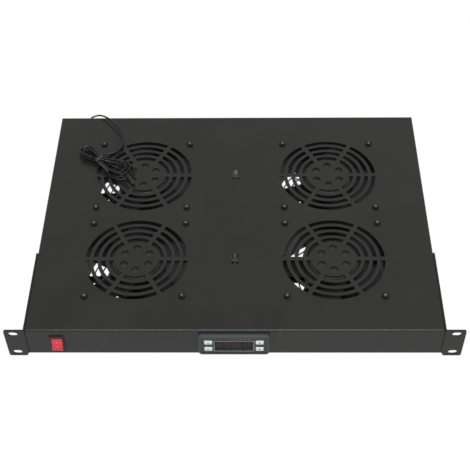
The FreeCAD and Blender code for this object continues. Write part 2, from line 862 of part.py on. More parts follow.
def fasteners():
    down = Vector(0, 0, -1)
    screw, nut = pan_screw(size("fan_screw_long"), down), hex_nut(down)
    screws, nuts = [], []
    for fan in FANS:
        x, y = fan_centre(fan)
        for side_x in (-1, 1):
            for side_y in (-1, 1):
                spot = (x + HOLE_HALF * side_x, y + HOLE_HALF * side_y)
                screws.append(moved(screw, *spot, PAN_TOP))
                nuts.append(moved(nut, *spot, PAN_UNDER - size("fan_flange")))
    solids_node("fan_screws", screws)
    solids_node("fan_nuts", nuts)

    screws, nuts = [], []
    for side in (-1, 1):
        inward = Vector(-side, 0, 0)
        screw, nut = pan_screw(size("ear_screw_long"), inward), hex_nut(inward)
        for k in range(3):
            y, z = ear_screw_place(k)
            screws.append(moved(screw, (PAN_HALF + size("ear_thick")) * side, y, z))
            nuts.append(moved(nut, (PAN_HALF - size("sheet")) * side, y, z))
    solids_node("ear_screws", screws)
    solids_node("ear_nuts", nuts)


# ---- thermostat ----
BEZEL_FRONT = PAN_FRONT - size("bezel_thick")
FACE_Y = BEZEL_FRONT + size("bezel_recess")
FACE_Z = CONTROL_Z - size("face_drop")
KEYS = {
    "upper_left_key": (-1, 1),
    "lower_left_key": (-1, -1),
    "upper_right_key": (1, 1),
    "lower_right_key": (1, -1),
}


def key_place(name):
    side, up = KEYS[name]
    return CONTROL_X + size("key_pitch_x") / 2 * side, FACE_Z + size("key_pitch_z") / 2 * up


def control_bezel():
    """Moulded front frame of the thermostat, bevelled all round."""
    body = new_body("control_bezel")
    outline = sketch(body, "bezel_outline", "XZ_Plane", -PAN_FRONT)
    rectangle(outline, size("bezel_wide"), size("bezel_high"), CONTROL_X, CONTROL_Z)
    block = pad(body, "bezel_block", outline, size("bezel_thick"))
    across = Vector(0, 1, 0)
    rounded = round_edges(
        body, "bezel_corners", block, size("bezel_round"), lambda e: is_line_along(e, across)
    )
    bevel_edges(
        body,
        "bezel_bevel",
        rounded,
        size("bezel_bevel"),
        lambda e: lies_at(e, "y", BEZEL_FRONT),
    )
    recess = sketch(body, "face_outline", "XZ_Plane", -(BEZEL_FRONT - 1))
    inset = size("bezel_rim") * 2
    rectangle(recess, size("bezel_wide") - inset, size("bezel_high") - inset, CONTROL_X, CONTROL_Z)
    pocket(body, "face_recess", recess, size("bezel_recess") + 1)
    rim = sketch(body, "window_rim_plan", "XZ_Plane", -FACE_Y)
    rim_size = size("window_rim") * 2
    rectangle(
        rim, size("window_wide") + rim_size, size("window_high") + rim_size, CONTROL_X, FACE_Z
    )
    pad(body, "window_rim", rim, size("window_rim_proud"))
    openings = sketch(body, "bezel_openings", "XZ_Plane", -(BEZEL_FRONT - 1))
    rectangle(openings, size("window_wide"), size("window_high"), CONTROL_X, FACE_Z)
    gap = size("key_gap") * 2
    for name in KEYS:
        rectangle(openings, size("key_wide") + gap, size("key_high") + gap, *key_place(name))
    pocket(body, "bezel_through", openings, size("bezel_thick") + 2)


def control_case():
    """Case behind the panel: open at the front, closed at the rear."""
    body = new_body("control_case")
    outline = sketch(body, "case_outline", "XZ_Plane", -PAN_FRONT)
    rectangle(outline, size("case_wide"), size("case_high"), CONTROL_X, CONTROL_Z)
    pad(body, "case_block", outline, size("case_deep"), reverse=True)
    cavity = sketch(body, "case_cavity_plan", "XZ_Plane", -(PAN_FRONT - 1))
    walls = size("case_wall") * 2
    rectangle(
        cavity, size("case_wide") - walls, size("case_high") - walls, CONTROL_X, CONTROL_Z
    )
    pocket(body, "case_cavity", cavity, size("case_deep") - size("case_wall") + 1)


def box_piece(name, wide, deep, high, x, front, z):
    """A plain block: centred on x and z, running back from its front face."""
    made = doc.addObject("Part::Box", "Piece_" + name)
    bind(made, "Length", wide)
    bind(made, "Width", deep)
    bind(made, "Height", high)
    place(made, dim(x) - dim(wide) / 2, front, dim(z) - dim(high) / 2)
    return made


def control_inside():
    """Window, display, board with its key switches, side clips and rear terminals."""
    window = box_piece(
        "control_window",
        size("window_wide"),
        size("window_thick"),
        size("window_high"),
        CONTROL_X,
        FACE_Y,
        FACE_Z,
    )
    node(window, "control_window")
    display_front = FACE_Y + size("window_thick") + 0.5
    board_front = PAN_FRONT + size("board_inset")
    display = box_piece(
        "control_display",
        size("display_wide"),
        board_front - display_front,
        size("display_high"),
        CONTROL_X,
        display_front,
        FACE_Z,
    )
    node(display, "control_display")
    walls = size("case_wall") * 2
    board = box_piece(
        "board_plate",
        size("case_wide") - walls,
        size("board_thick"),
        size("case_high") - walls,
        CONTROL_X,
        board_front,
        CONTROL_Z,
    )
    parts = [board]
    for name in KEYS:
        x, z = key_place(name)
        parts.append(
            box_piece(f"{name}_switch", Dim(6), Dim(2), Dim(5), x, board_front - 2, z)
        )
    fused = doc.addObject("Part::MultiFuse", "Piece_control_board")
    fused.Shapes = parts
    node(fused, "control_board")

    case_rear = PAN_FRONT + size("case_deep")
    terminals = box_piece(
        "terminal_blank",
        size("terminal_wide"),
        size("terminal_deep"),
        size("terminal_high"),
        CONTROL_X,
        case_rear,
        CONTROL_Z,
    )
    node(terminals, "control_terminals")
    clips = []
    for side in (-1, 1):
        clip = Part.makeBox(
            float(size("clip_thick")), float(size("clip_long")), float(size("clip_high"))
        )
        edge = CONTROL_X + size("case_wide") / 2 * side
        left = edge if side > 0 else edge - size("clip_thick")
        clips.append(
            moved(clip, left, PAN_INNER_FRONT, CONTROL_Z - size("clip_high") / 2)
        )
    solids_node("control_clips", clips)


def control_key(name):
    """Key cap with a stem that reaches its switch on the board, less its travel."""
    x, z = key_place(name)
    body = new_body(name)
    cap = sketch(body, "cap_plan", "XZ_Plane", -(FACE_Y - size("key_proud")))
    rectangle(cap, size("key_wide"), size("key_high"), x, z)
    block = pad(body, "cap", cap, size("key_deep"), reverse=True)
    across = Vector(0, 1, 0)
    round_edges(body, "cap_corners", block, 0.8, lambda e: is_line_along(e, across))
    stem_front = FACE_Y - size("key_proud") + size("key_deep")
    stem = sketch(body, "stem_plan", "XZ_Plane", -stem_front)
    rectangle(stem, size("key_stem"), size("key_stem"), x, z)
    stem_end = PAN_FRONT + size("board_inset") - 2 - size("key_travel") - 0.1
    pad(body, "stem", stem, stem_end - stem_front, reverse=True)


# ---- rocker switch ----
SWITCH_FRONT = PAN_FRONT - size("switch_rim")
PIVOT_Y = SWITCH_FRONT + size("rocker_pivot_depth")


def switch_housing():
    body = new_body("switch_housing")
    x, z = size("switch_x"), size("switch_z")
    plate = sketch(body, "rim_plan", "XZ_Plane", -PAN_FRONT)
    rectangle(plate, size("switch_wide"), size("switch_high"), x, z)
    rim = pad(body, "rim", plate, size("switch_rim"))
    bevel_edges(
        body, "rim_bevel", rim, size("switch_rim") / 2, lambda e: lies_at(e, "y", SWITCH_FRONT)
    )
    shell = sketch(body, "shell_plan", "XZ_Plane", -PAN_FRONT)
    rectangle(shell, size("switch_body_wide"), size("switch_body_high"), x, z)
    pad(body, "shell", shell, size("switch_body_deep"), reverse=True)
    well = sketch(body, "well_plan", "XZ_Plane", -(SWITCH_FRONT - 1))
    well_high = (size("rocker_radius") + size("rocker_gap")) * 2
    rectangle(well, size("switch_body_wide") - size("switch_wall") * 2, well_high, x, z)
    well_deep = size("rocker_pivot_depth") + size("rocker_radius") + 1.5
    pocket(body, "well", well, well_deep)
    pivot = sketch(body, "pivot_plan", "YZ_Plane", x - size("switch_wide"))
    circle(pivot, size("trunnion_wide") / 2 + size("shaft_running_gap"), PIVOT_Y, z)
    pocket(body, "pivot_holes", pivot, size("switch_wide") * 2, reverse=True)


def switch_rocker():
    """Dished rocker on two trunnions; at rest its upper end is pressed in."""
    body = new_body("switch_rocker")
    radius, rise = size("rocker_radius"), size("rocker_rise")
    wide = size("switch_body_wide") - size("switch_wall") * 2 - size("rocker_gap") * 2
    disc = sketch(body, "rocker_disc_plan", "YZ_Plane", -wide / 2)
    circle(disc, radius)
    pad(body, "rocker_disc", disc, wide)
    # both halves of the face slope up from the middle; the back is cut flat
    lift = math.tan(math.radians(float(size("rocker_dish"))))
    far = radius + 4
    face = sketch(body, "rocker_face_plan", "YZ_Plane", -wide)
    polygon(
        face,
        [
            (-rise, Dim(0)),
            (-(rise + far * lift), far),
            (-far * 2, far),
            (-far * 2, -far),
            (-(rise + far * lift), -far),
        ],
    )
    pocket(body, "rocker_face", face, wide * 2, reverse=True)
    back = sketch(body, "rocker_back_plan", "YZ_Plane", -wide)
    back_y = size("trunnion_wide") / 2 + 1
    polygon(back, [(back_y, -far), (back_y + far, -far), (back_y + far, far), (back_y, far)])
    pocket(body, "rocker_back", back, wide * 2, reverse=True)
    reach = size("switch_body_wide") - 0.2
    trunnion = sketch(body, "trunnion_plan", "YZ_Plane", -reach / 2)
    circle(trunnion, size("trunnion_wide") / 2)
    pad(body, "trunnions", trunnion, reach)
    tilt = Rotation(Vector(1, 0, 0), -float(size("rocker_swing")) / 2)
    body.Placement = Placement(
        Vector(float(size("switch_x")), float(PIVOT_Y), float(size("switch_z"))), tilt
    )


def blade_tabs(name, places, wide, thick, long, front):
    """Flat push-on tabs, each centred on a place given as (x, z)."""
    tab = Part.makeBox(float(wide), float(long), float(thick))
    solids_node(
        name,
        [moved(tab, x - dim(wide) / 2, front, z - dim(thick) / 2) for x, z in places],
    )


def switch_terminals():
    rear = PAN_FRONT + size("switch_body_deep")
    places = [(size("switch_x"), size("switch_z") + 7.0 * step) for step in (-1, 0, 1)]
    blade_tabs(
        "switch_terminals", places, size("tab_wide"), size("tab_thick"), size("tab_long"), rear
    )


# ---- appliance inlet ----
INLET_FACE = PAN_REAR + size("inlet_flange_thick")


def mains_inlet():
    """Three-pin appliance inlet, screwed on from behind the rear wall."""
    body = new_body("mains_inlet")
    x, z = size("inlet_x"), size("inlet_z")
    flange = sketch(body, "inlet_flange_plan", "XZ_Plane", -PAN_REAR)
    rectangle(flange, size("inlet_flange_wide"), size("inlet_flange_high"), x, z)
    block = pad(body, "inlet_flange", flange, size("inlet_flange_thick"), reverse=True)
    across = Vector(0, 1, 0)
    round_edges(body, "inlet_corners", block, 3.0, lambda e: is_line_along(e, across))
    shell = sketch(body, "inlet_shell_plan", "XZ_Plane", -PAN_REAR)
    rectangle(shell, size("inlet_body_wide"), size("inlet_body_high"), x, z)
    pad(body, "inlet_shell", shell, size("inlet_body_deep"))
    cavity = sketch(body, "inlet_cavity_plan", "XZ_Plane", -(INLET_FACE + 1))
    half_x, half_z = size("inlet_cavity_wide") / 2, size("inlet_cavity_high") / 2
    cut = size("inlet_corner")
    polygon(
        cavity,
        [
            (x - half_x, z - half_z),
            (x + half_x, z - half_z),
            (x + half_x, z + half_z - cut),
            (x + half_x - cut, z + half_z),
            (x - half_x + cut, z + half_z),
            (x - half_x, z + half_z - cut),
        ],
    )
    pocket(body, "inlet_cavity", cavity, size("inlet_cavity_deep") + 1, reverse=True)
    holes = sketch(body, "inlet_hole_plan", "XZ_Plane", -(INLET_FACE + 1))
    for side in (-1, 1):
        circle(
            holes,
            size("inlet_screw_wide") / 2 + 0.15,
            x + size("inlet_screw_pitch") / 2 * side,
            z,
        )
    pocket(body, "inlet_holes", holes, size("inlet_flange_thick") + 2, reverse=True)


def inlet_pins():
    """Live, neutral and earth pins, standing in the cavity's floor."""
    floor = INLET_FACE - size("inlet_cavity_deep")
    pin = Part.makeBox(float(size("pin_thick")), float(size("pin_long")), float(size("pin_high")))
    half = size("pin_thick") / 2
    middle = size("inlet_z") - size("pin_high") / 2
    spots = [
        (size("inlet_x") - size("pin_pitch") / 2, middle - 1),
        (size("inlet_x") + size("pin_pitch") / 2, middle - 1),
        (size("inlet_x"), middle + 3),
    ]
    solids_node("inlet_pins", [moved(pin, x - half, floor, z) for x, z in spots])


def inlet_screws():
    ahead = Vector(0, -1, 0)
    screw = pan_screw(Dim(8), ahead, "inlet_screw_wide", "inlet_head_wide", "inlet_head_high")
    made = []
    for side in (-1, 1):
        x = size("inlet_x") + size("inlet_screw_pitch") / 2 * side
        made.append(moved(screw, x, INLET_FACE, size("inlet_z")))
    solids_node("inlet_screws", made)


# ---- wiring inside the pan ----
def route_path(points, keep_radius=None, label=None):
    """Straight runs joined by tangent arcs; returns the wire and its length."""
    points = [Vector(*[float(c) for c in p]) for p in points]
    edges, radii, start = [], [], points[0]
    for before, corner, after in zip(points, points[1:], points[2:]):
        back, ahead = (before - corner), (after - corner)
        shorter = min(back.Length, ahead.Length)
        half_turn = (math.pi - back.getAngle(ahead)) / 2
        trim = 0.45 * shorter
        radius = trim / math.tan(half_turn)
        if keep_radius:
            radius = min(radius, float(keep_radius))
            trim = radius * math.tan(half_turn)
        radii.append(radius)
        back.normalize()
        ahead.normalize()
        enter, leave = corner + back * trim, corner + ahead * trim
        inward = (back + ahead).normalize()
        middle = corner + inward * (radius / math.cos(half_turn) - radius)
        if (enter - start).Length > 1e-6:
            edges.append(Part.LineSegment(start, enter).toShape())
        edges.append(Part.Arc(enter, middle, leave).toShape())
        start = leave
    edges.append(Part.LineSegment(start, points[-1]).toShape())
    wire = Part.Wire(edges)
    if label:
        shown = ", ".join(f"{r:.1f}" for r in radii)
        print(f"{label}: length {wire.Length:.1f}, radii {shown}")
    return wire


def tube_along(points, radius, keep_radius=None, label=None):
    """Round tube along a route, checked against its section times its length."""
    wire = route_path(points, keep_radius, label)
    first = wire.Edges[0]
    start = first.valueAt(first.FirstParameter)
    heading = first.tangentAt(first.FirstParameter)
    ring_wire = Part.Wire(Part.makeCircle(float(radius), start, heading))
    tube = wire.makePipeShell([ring_wire], True, True)
    expected = math.pi * float(radius) ** 2 * wire.Length
    if abs(tube.Volume - expected) > 0.01 * expected:
        raise RuntimeError(f"tube volume {tube.Volume:.1f} is not {expected:.1f}")
    return tube


def wiring():
    """Trunk leads down the middle, a lead from each fan, and the block that joins them."""
    block_half = size("block_long") / 2
    block = box_piece(
        "wiring_block",
        size("block_wide"),
        size("block_long"),
        size("block_high"),
        Dim(0),
        BLOCK_Y - block_half,
        PAN_UNDER - size("block_high") / 2,
    )
    node(block, "wiring_block")

    inlet_back = PAN_REAR - size("inlet_body_deep")
    rear_run = [(size("inlet_x"), inlet_back, TRUNK_Z - 6), (0, inlet_back - 22, TRUNK_Z - 6)]
    rear_run += [(0, inlet_back - 44, TRUNK_Z), (0, BLOCK_Y + block_half, TRUNK_Z)]
    solids_node("mains_lead", [tube_along(rear_run, MAINS_RADIUS, Dim(24))])
    terminal_rear = PAN_FRONT + size("case_deep") + size("terminal_deep")
    front_run = [
        (0, BLOCK_Y - block_half, TRUNK_Z),
        (0, terminal_rear + 24, TRUNK_Z),
        (0, terminal_rear + 10, CONTROL_Z + 1),
        (0, terminal_rear, CONTROL_Z + 1),
    ]
    solids_node("control_lead", [tube_along(front_run, MAINS_RADIUS, Dim(12))])

    # each fan's lead runs straight from its upper flange to the block
    leads = []
    lead_radius = size("fan_lead_wide") / 2
    lead_z = PAN_UNDER - size("fan_flange") / 2
    flange_inner = size("fan_pitch_x") / 2 - size("fan_side") / 2
    reach = flange_inner - size("block_wide") / 2
    for side, row, _ in FANS.values():
        toward = 1 if row else -1
        lead_y = BLOCK_Y + (size("block_long") / 2 - lead_radius - 3) * toward
        start = Vector(float(flange_inner) * side, float(lead_y), float(lead_z))
        leads.append(
            Part.makeCylinder(float(lead_radius), float(reach), start, Vector(-side, 0, 0))
        )
    solids_node("fan_leads", leads)

    # switch lead: from the thermostat's terminals, between its case and the fan, to the switch
    channel_x = -(size("fan_pitch_x") / 2 - size("fan_side") / 2 + size("case_wide") / 2) / 2 - 2.3
    front_y = PAN_INNER_FRONT + 26
    low_z = CONTROL_Z - 6
    tabs_rear = PAN_FRONT + size("switch_body_deep") + size("tab_long")
    switch_run = [
        (CONTROL_X - 22, terminal_rear, CONTROL_Z),
        (CONTROL_X - 22, terminal_rear + 9, CONTROL_Z),
        (channel_x, terminal_rear + 9, low_z),
        (channel_x, front_y + 5, low_z),
        (channel_x - 12, front_y + 5, low_z),
        (size("switch_x"), front_y + 5, size("switch_z")),
        (size("switch_x"), tabs_rear, size("switch_z")),
    ]
    solids_node("switch_lead", [tube_along(switch_run, lead_radius, Dim(4.5))])

    # sensor lead inside: along the left bay, across the front bay, to the terminals
    radius = SENSOR_RADIUS
    outer_end = PAN_REAR + size("grommet_lip_thick")
    high_z = CONTROL_Z + 3
    sensor_run = [
        (size("sensor_x"), outer_end, size("sensor_z")),
        (size("sensor_x"), PAN_INNER_REAR - 40, size("sensor_z")),
        (size("sensor_x") - 8, PAN_INNER_REAR - 80, high_z),
        (size("sensor_x") - 8, front_y + 36, high_z),
        (size("sensor_x") + 16, front_y, high_z),
        (channel_x + 1, front_y, high_z),
        (channel_x + 1, terminal_rear + 14, high_z),
        (CONTROL_X - 10, terminal_rear + 14, high_z),
        (CONTROL_X - 10, terminal_rear, high_z),
    ]
    solids_node("sensor_inner_lead", [tube_along(sensor_run, radius, Dim(6))])

    # cable ties round the bridges and the trunk leads
    ties = []
    gap = 0.0
    inner_half = MAINS_RADIUS + gap
    top = BRIDGE_UNDER + size("sheet")
    bottom = TRUNK_Z - MAINS_RADIUS
    wide, thick = size("tie_wide"), size("tie_thick")
    for y in BRIDGE_PLACES:
        outer = Part.makeBox(
            float(inner_half + thick) * 2, float(wide), float(top - bottom + thick * 2)
        )
        outer = moved(outer, -(inner_half + thick), y - wide / 2, bottom - thick)
        inner = Part.makeBox(float(inner_half) * 2, float(wide), float(top - bottom))
        ties.append(outer.cut(moved(inner, -inner_half, y - wide / 2, bottom)))
    solids_node("cable_ties", ties)


# ---- sensor lead outside ----
# route of the free lead: out of the rear grommet, up and over the tray's rear edge, down to
# the tie of its hank
SENSOR_ROUTE = [
    (-188.0, 331.6, 5.0),
    (-188.0, 338.5, 5.0),
    (-187.0, 343.0, 10.0),
    (-182.5, 340.3, 17.2),
    (-174.2, 333.0, 25.8),
    (-164.0, 323.7, 30.0),
    (-153.5, 311.5, 29.5),
    (-145.0, 299.5, 28.0),
    (-139.5, 286.5, 26.3),
    (-137.0, 274.0, 25.6),
    (-143.0, 265.5, 25.4),
    (-156.68, 257.96, 25.4),
    (-161.11, 251.33, 25.4),
]
HANK_TIE = Vector(-163.0, 248.5, 0.0)
HANK_LEFT = Vector(-193.5, 268.5, 0.0)
HANK_RIGHT = Vector(-126.0, 223.5, 0.0)
PROBE_START = Vector(-131.5, 229.5, 0.0)
PROBE_END = Vector(-119.5, 210.5, 0.0)


def lobe(tip, half_wide, half_waist):
    """Outline of one lobe of the hank: a loop that narrows to the tie."""
    along = tip - HANK_TIE
    side = along.cross(Vector(0, 0, 1)).normalize()
    bulge = HANK_TIE + along * 0.62
    start, end = HANK_TIE + side * half_waist, HANK_TIE - side * half_waist
    right, left = bulge + side * half_wide, bulge - side * half_wide
    near = HANK_TIE + along * 0.25
    edges = [
        Part.Arc(start, near + side * (half_waist + half_wide) * 0.5, right).toShape(),
        Part.Arc(right, tip, left).toShape(),
        Part.Arc(left, near - side * (half_waist + half_wide) * 0.5, end).toShape(),
        Part.LineSegment(end, start).toShape(),
    ]
    return Part.Face(Part.Wire(edges))


def sensor_outside():
    """Free lead, the tied hank that takes up its length, the tie and the probe."""
    radius = SENSOR_RADIUS
    floor = float(PAN_TOP) + 0.05
    thick = float(size("hank_thick"))
    left = lobe(HANK_LEFT, 8.5, 3.4).extrude(Vector(0, 0, thick))
    right = lobe(HANK_RIGHT, 12.0, 3.4).extrude(Vector(0, 0, thick))
    hank = left.fuse(right).removeSplitter()
    hank.translate(Vector(0, 0, floor))
    lead = tube_along(SENSOR_ROUTE, radius, label="sensor_lead").cut(hank)
    solids_node("sensor_lead", [lead])
    along = (HANK_RIGHT - HANK_LEFT).normalize()
    turn = Placement(HANK_TIE, Rotation(Vector(1, 0, 0), along))
    outer = Part.makeBox(4.0, 9.2, thick + 1.2, Vector(-2.0, -4.6, floor + 0.0))
    outer.Placement = turn
    tie = outer.cut(hank).cut(lead)
    solids_node("sensor_lead_hank", [hank])
    solids_node("sensor_tie", tie.Solids)
    heading = PROBE_END - PROBE_START
    probe_radius = float(size("probe_wide")) / 2
    base = Vector(PROBE_START.x, PROBE_START.y, floor + probe_radius)
    probe = Part.makeCylinder(probe_radius, float(size("probe_long")), base, heading)
    solids_node("sensor_probe", probe.cut(hank).Solids)

    # rubber grommet in the rear wall, round the lead
    hole = size("grommet_hole") / 2
    lip = size("grommet_lip_thick")
    made = ring(hole, radius, lip * 2 + size("sheet"))
    for start in (Dim(0), lip + size("sheet")):
        made = made.fuse(moved(ring(hole + size("grommet_lip"), radius, lip), z=start))
    made = made.removeSplitter()
    made.Placement = Placement(
        Vector(float(size("sensor_x")), float(PAN_INNER_REAR - lip), float(size("sensor_z"))),
        Rotation(Vector(0, 0, 1), Vector(0, 1, 0)),
    )
    solids_node("sensor_grommet", [made])


# ---- build ----
top_panel()
for side in (-1, 1):
    rack_ear(side)
for fan, (_, _, phase) in FANS.items():
    x, y = fan_centre(fan)
    place(fan_frame(fan), x, y, PAN_UNDER)
    place(fan_impeller(fan), x, y, PAN_UNDER, phase)
    shaft, level = fan_shaft(fan)
    place(shaft, x, y, PAN_UNDER + level)
    stator, level = fan_stator(fan)
    place(stator, x, y, PAN_UNDER + level)
fan_bearings()
fasteners()
control_bezel()
control_case()
control_inside()
for name in KEYS:
    control_key(name)
switch_housing()
switch_rocker()
switch_terminals()
mains_inlet()
inlet_pins()
inlet_screws()
wiring()
sensor_outside()
doc.recompute()

# ---- check and write ----
for thing in doc.Objects:
    if "Invalid" in thing.State or "Error" in thing.State:
        raise RuntimeError(f"{thing.Label} failed: {thing.State}")
os.makedirs("parts", exist_ok=True)
for name, thing in NODES.items():
    if thing.Shape.isNull() or not thing.Shape.isValid():
        raise RuntimeError(f"{name} has no valid shape")
    if not thing.Shape.Solids:
        raise RuntimeError(f"{name} has no solid")
    thing.Shape.exportStep(f"parts/{name}.step")
print(f"{len(NODES)} sub-parts written")
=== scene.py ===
"""Looks of a rack fan tray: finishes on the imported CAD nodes, and the pieces that dress them.

Metres, in the model's own frame: the origin between the four rack slots on the ears' front face,
X to the right seen from the front, Y into the cabinet, Z up.
"""

import json
import logging
import math
from dataclasses import dataclass
from enum import Enum
from functools import cache

import bmesh
import bpy
from bmesh.types import BMesh
from mathutils import Matrix, Vector

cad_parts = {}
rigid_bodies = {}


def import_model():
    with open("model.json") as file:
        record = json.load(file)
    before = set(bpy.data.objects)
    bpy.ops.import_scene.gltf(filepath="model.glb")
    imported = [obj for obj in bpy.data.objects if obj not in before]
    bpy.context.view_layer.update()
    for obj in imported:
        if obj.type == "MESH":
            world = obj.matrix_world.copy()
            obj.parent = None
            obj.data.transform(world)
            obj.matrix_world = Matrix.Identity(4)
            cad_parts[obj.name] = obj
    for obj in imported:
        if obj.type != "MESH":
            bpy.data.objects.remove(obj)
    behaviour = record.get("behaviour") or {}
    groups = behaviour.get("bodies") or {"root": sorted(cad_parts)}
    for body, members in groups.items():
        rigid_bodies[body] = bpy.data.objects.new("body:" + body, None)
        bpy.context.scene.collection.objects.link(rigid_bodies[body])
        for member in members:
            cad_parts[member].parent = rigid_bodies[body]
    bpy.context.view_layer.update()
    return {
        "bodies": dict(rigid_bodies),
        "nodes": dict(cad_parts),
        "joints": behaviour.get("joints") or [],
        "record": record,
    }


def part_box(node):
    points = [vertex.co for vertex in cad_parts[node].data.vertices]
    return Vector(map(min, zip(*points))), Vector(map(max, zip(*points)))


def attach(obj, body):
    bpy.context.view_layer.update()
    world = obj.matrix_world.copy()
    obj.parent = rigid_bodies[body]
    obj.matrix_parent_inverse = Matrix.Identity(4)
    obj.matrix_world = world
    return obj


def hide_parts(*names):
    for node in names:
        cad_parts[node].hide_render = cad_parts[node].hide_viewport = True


log = logging.getLogger("fan_tray")

MM = 0.001
FANS = ("front_left", "front_right", "rear_left", "rear_right")
KEYS = ("upper_left_key", "lower_left_key", "upper_right_key", "lower_right_key")
# half the pitch of a 120 mm fan's screw holes
FAN_HOLE = 52.5 * MM
# edges up to these angles are shaded smooth, in degrees
HEAD_SMOOTH, SMOOTH, ROUNDED = 28.0, 32.0, 50.0


class Axis(Enum):
    """Direction that a piece faces, as the turn that takes +Z to it."""

    UP = (0.0, (1, 0, 0))
    FRONT = (math.pi / 2, (1, 0, 0))
    REAR = (-math.pi / 2, (1, 0, 0))
    LEFT = (-math.pi / 2, (0, 1, 0))
    RIGHT = (math.pi / 2, (0, 1, 0))
    DOWN = (math.pi, (1, 0, 0))

    def matrix(self) -> Matrix:
        """The turn as a matrix."""
        angle, about = self.value
        return Matrix.Rotation(angle, 4, Vector(about))


def linear(colour: str) -> tuple[float, float, float, float]:
    """Turns an sRGB hex colour to linear light.

    Args:
        colour: six hex digits after a hash.

    Returns:
        Red, green, blue and alpha, from 0 to 1.
    """
    parts = [int(colour[i : i + 2], 16) / 255 for i in (1, 3, 5)]
    bent = [c / 12.92 if c <= 0.04045 else ((c + 0.055) / 1.055) ** 2.4 for c in parts]
    return (*bent, 1.0)


def add_node(
    tree: bpy.types.NodeTree,
    kind: str,
    settings: dict | None = None,
    values: dict | None = None,
    links: dict | None = None,
) -> bpy.types.Node:
    """Adds a node with its settings, socket values and incoming links.

    Args:
        tree: the material's or world's node tree.
        kind: Blender's type name, without its ShaderNode prefix.
        settings: properties of the node.
        values: numbers or colours for its input sockets.
        links: output sockets that feed its input sockets.

    Returns:
        The new node.
    """
    node = tree.nodes.new("ShaderNode" + kind)
    for name, value in (settings or {}).items():
        setattr(node, name, value)
    for name, value in (values or {}).items():
        node.inputs[name].default_value = value
    for name, source in (links or {}).items():
        tree.links.new(source, node.inputs[name])
    return node


def blank_material(name: str) -> tuple[bpy.types.Material, bpy.types.NodeTree]:
    """Makes a node material with no nodes in it.

    Args:
        name: the material's name.

    Returns:
        The material and its node tree.
    """
    material = bpy.data.materials.new(name)
    material.use_nodes = True
    material.node_tree.nodes.clear()
    return material, material.node_tree


@dataclass(frozen=True)
class Finish:
    """A surface: its colour and drift of colour, its gloss, and the grain that bends light."""

    name: str
    colour: str
    drift: str
    roughness: float
    gloss_drift: float = 0.06
    metallic: float = 0.0
    ior: float = 1.5
    shine: float = 0.5
    # the grain's size and height and the drift's size, as on the real surface
    grain_mm: float = 0.5
    rise_mm: float = 0.006
    drift_mm: float = 30.0
    stretch: tuple[float, float, float] = (1.0, 1.0, 1.0)
    coat: float = 0.0
    # glow is painted light: emission in the finish's own colour, for a part that is no lamp
    glow: float = 0.0
    alpha: float = 1.0

    def build(self) -> bpy.types.Material:
        """Makes the material.

        Returns:
            A material whose patterns read Object coordinates.
        """
        material, tree = blank_material(self.name)
        place = add_node(tree, "TexCoord").outputs["Object"]
        stretched = add_node(
            tree, "Mapping", values={"Scale": self.stretch}, links={"Vector": place}
        )
        wide, fine = (
            add_node(
                tree, "TexNoise",
                values={"Scale": 1 / (wide_mm * MM), "Detail": detail, "Roughness": rough},
                links={"Vector": stretched.outputs["Vector"]},
            ).outputs["Fac"]
            for wide_mm, detail, rough in ((self.drift_mm, 3.0, 0.55), (self.grain_mm, 2.0, 0.6))
        )
        blend = add_node(
            tree, "MapRange", values={"From Min": 0.35, "From Max": 0.65}, links={"Value": wide}
        )
        colour = add_node(
            tree, "Mix", settings={"data_type": "RGBA"}, links={"Factor": blend.outputs["Result"]}
        )
        # the Mix node's colour inputs share their names with its number inputs
        colour.inputs[6].default_value = linear(self.colour)
        colour.inputs[7].default_value = linear(self.drift)
        low, high = self.roughness - self.gloss_drift, self.roughness + self.gloss_drift
        gloss = add_node(
            tree, "MapRange",
            values={"From Min": 0.3, "From Max": 0.7, "To Min": low, "To Max": high},
            links={"Value": fine},
        )
        bump = add_node(
            tree, "Bump", values={"Strength": 1.0, "Distance": self.rise_mm * MM},
            links={"Height": fine},
        )
        shader = add_node(
            tree, "BsdfPrincipled",
            values={
                "Metallic": self.metallic,
                "IOR": self.ior,
                "Specular IOR Level": self.shine,
                "Alpha": self.alpha,
                "Coat Weight": self.coat,
                "Emission Color": linear(self.colour),
                "Emission Strength": self.glow,
            },
            links={
                "Base Color": colour.outputs[2],
                "Roughness": gloss.outputs["Result"],
                "Normal": bump.outputs["Normal"],
            },
        )
        add_node(tree, "OutputMaterial", links={"Surface": shader.outputs["BSDF"]})
        return material


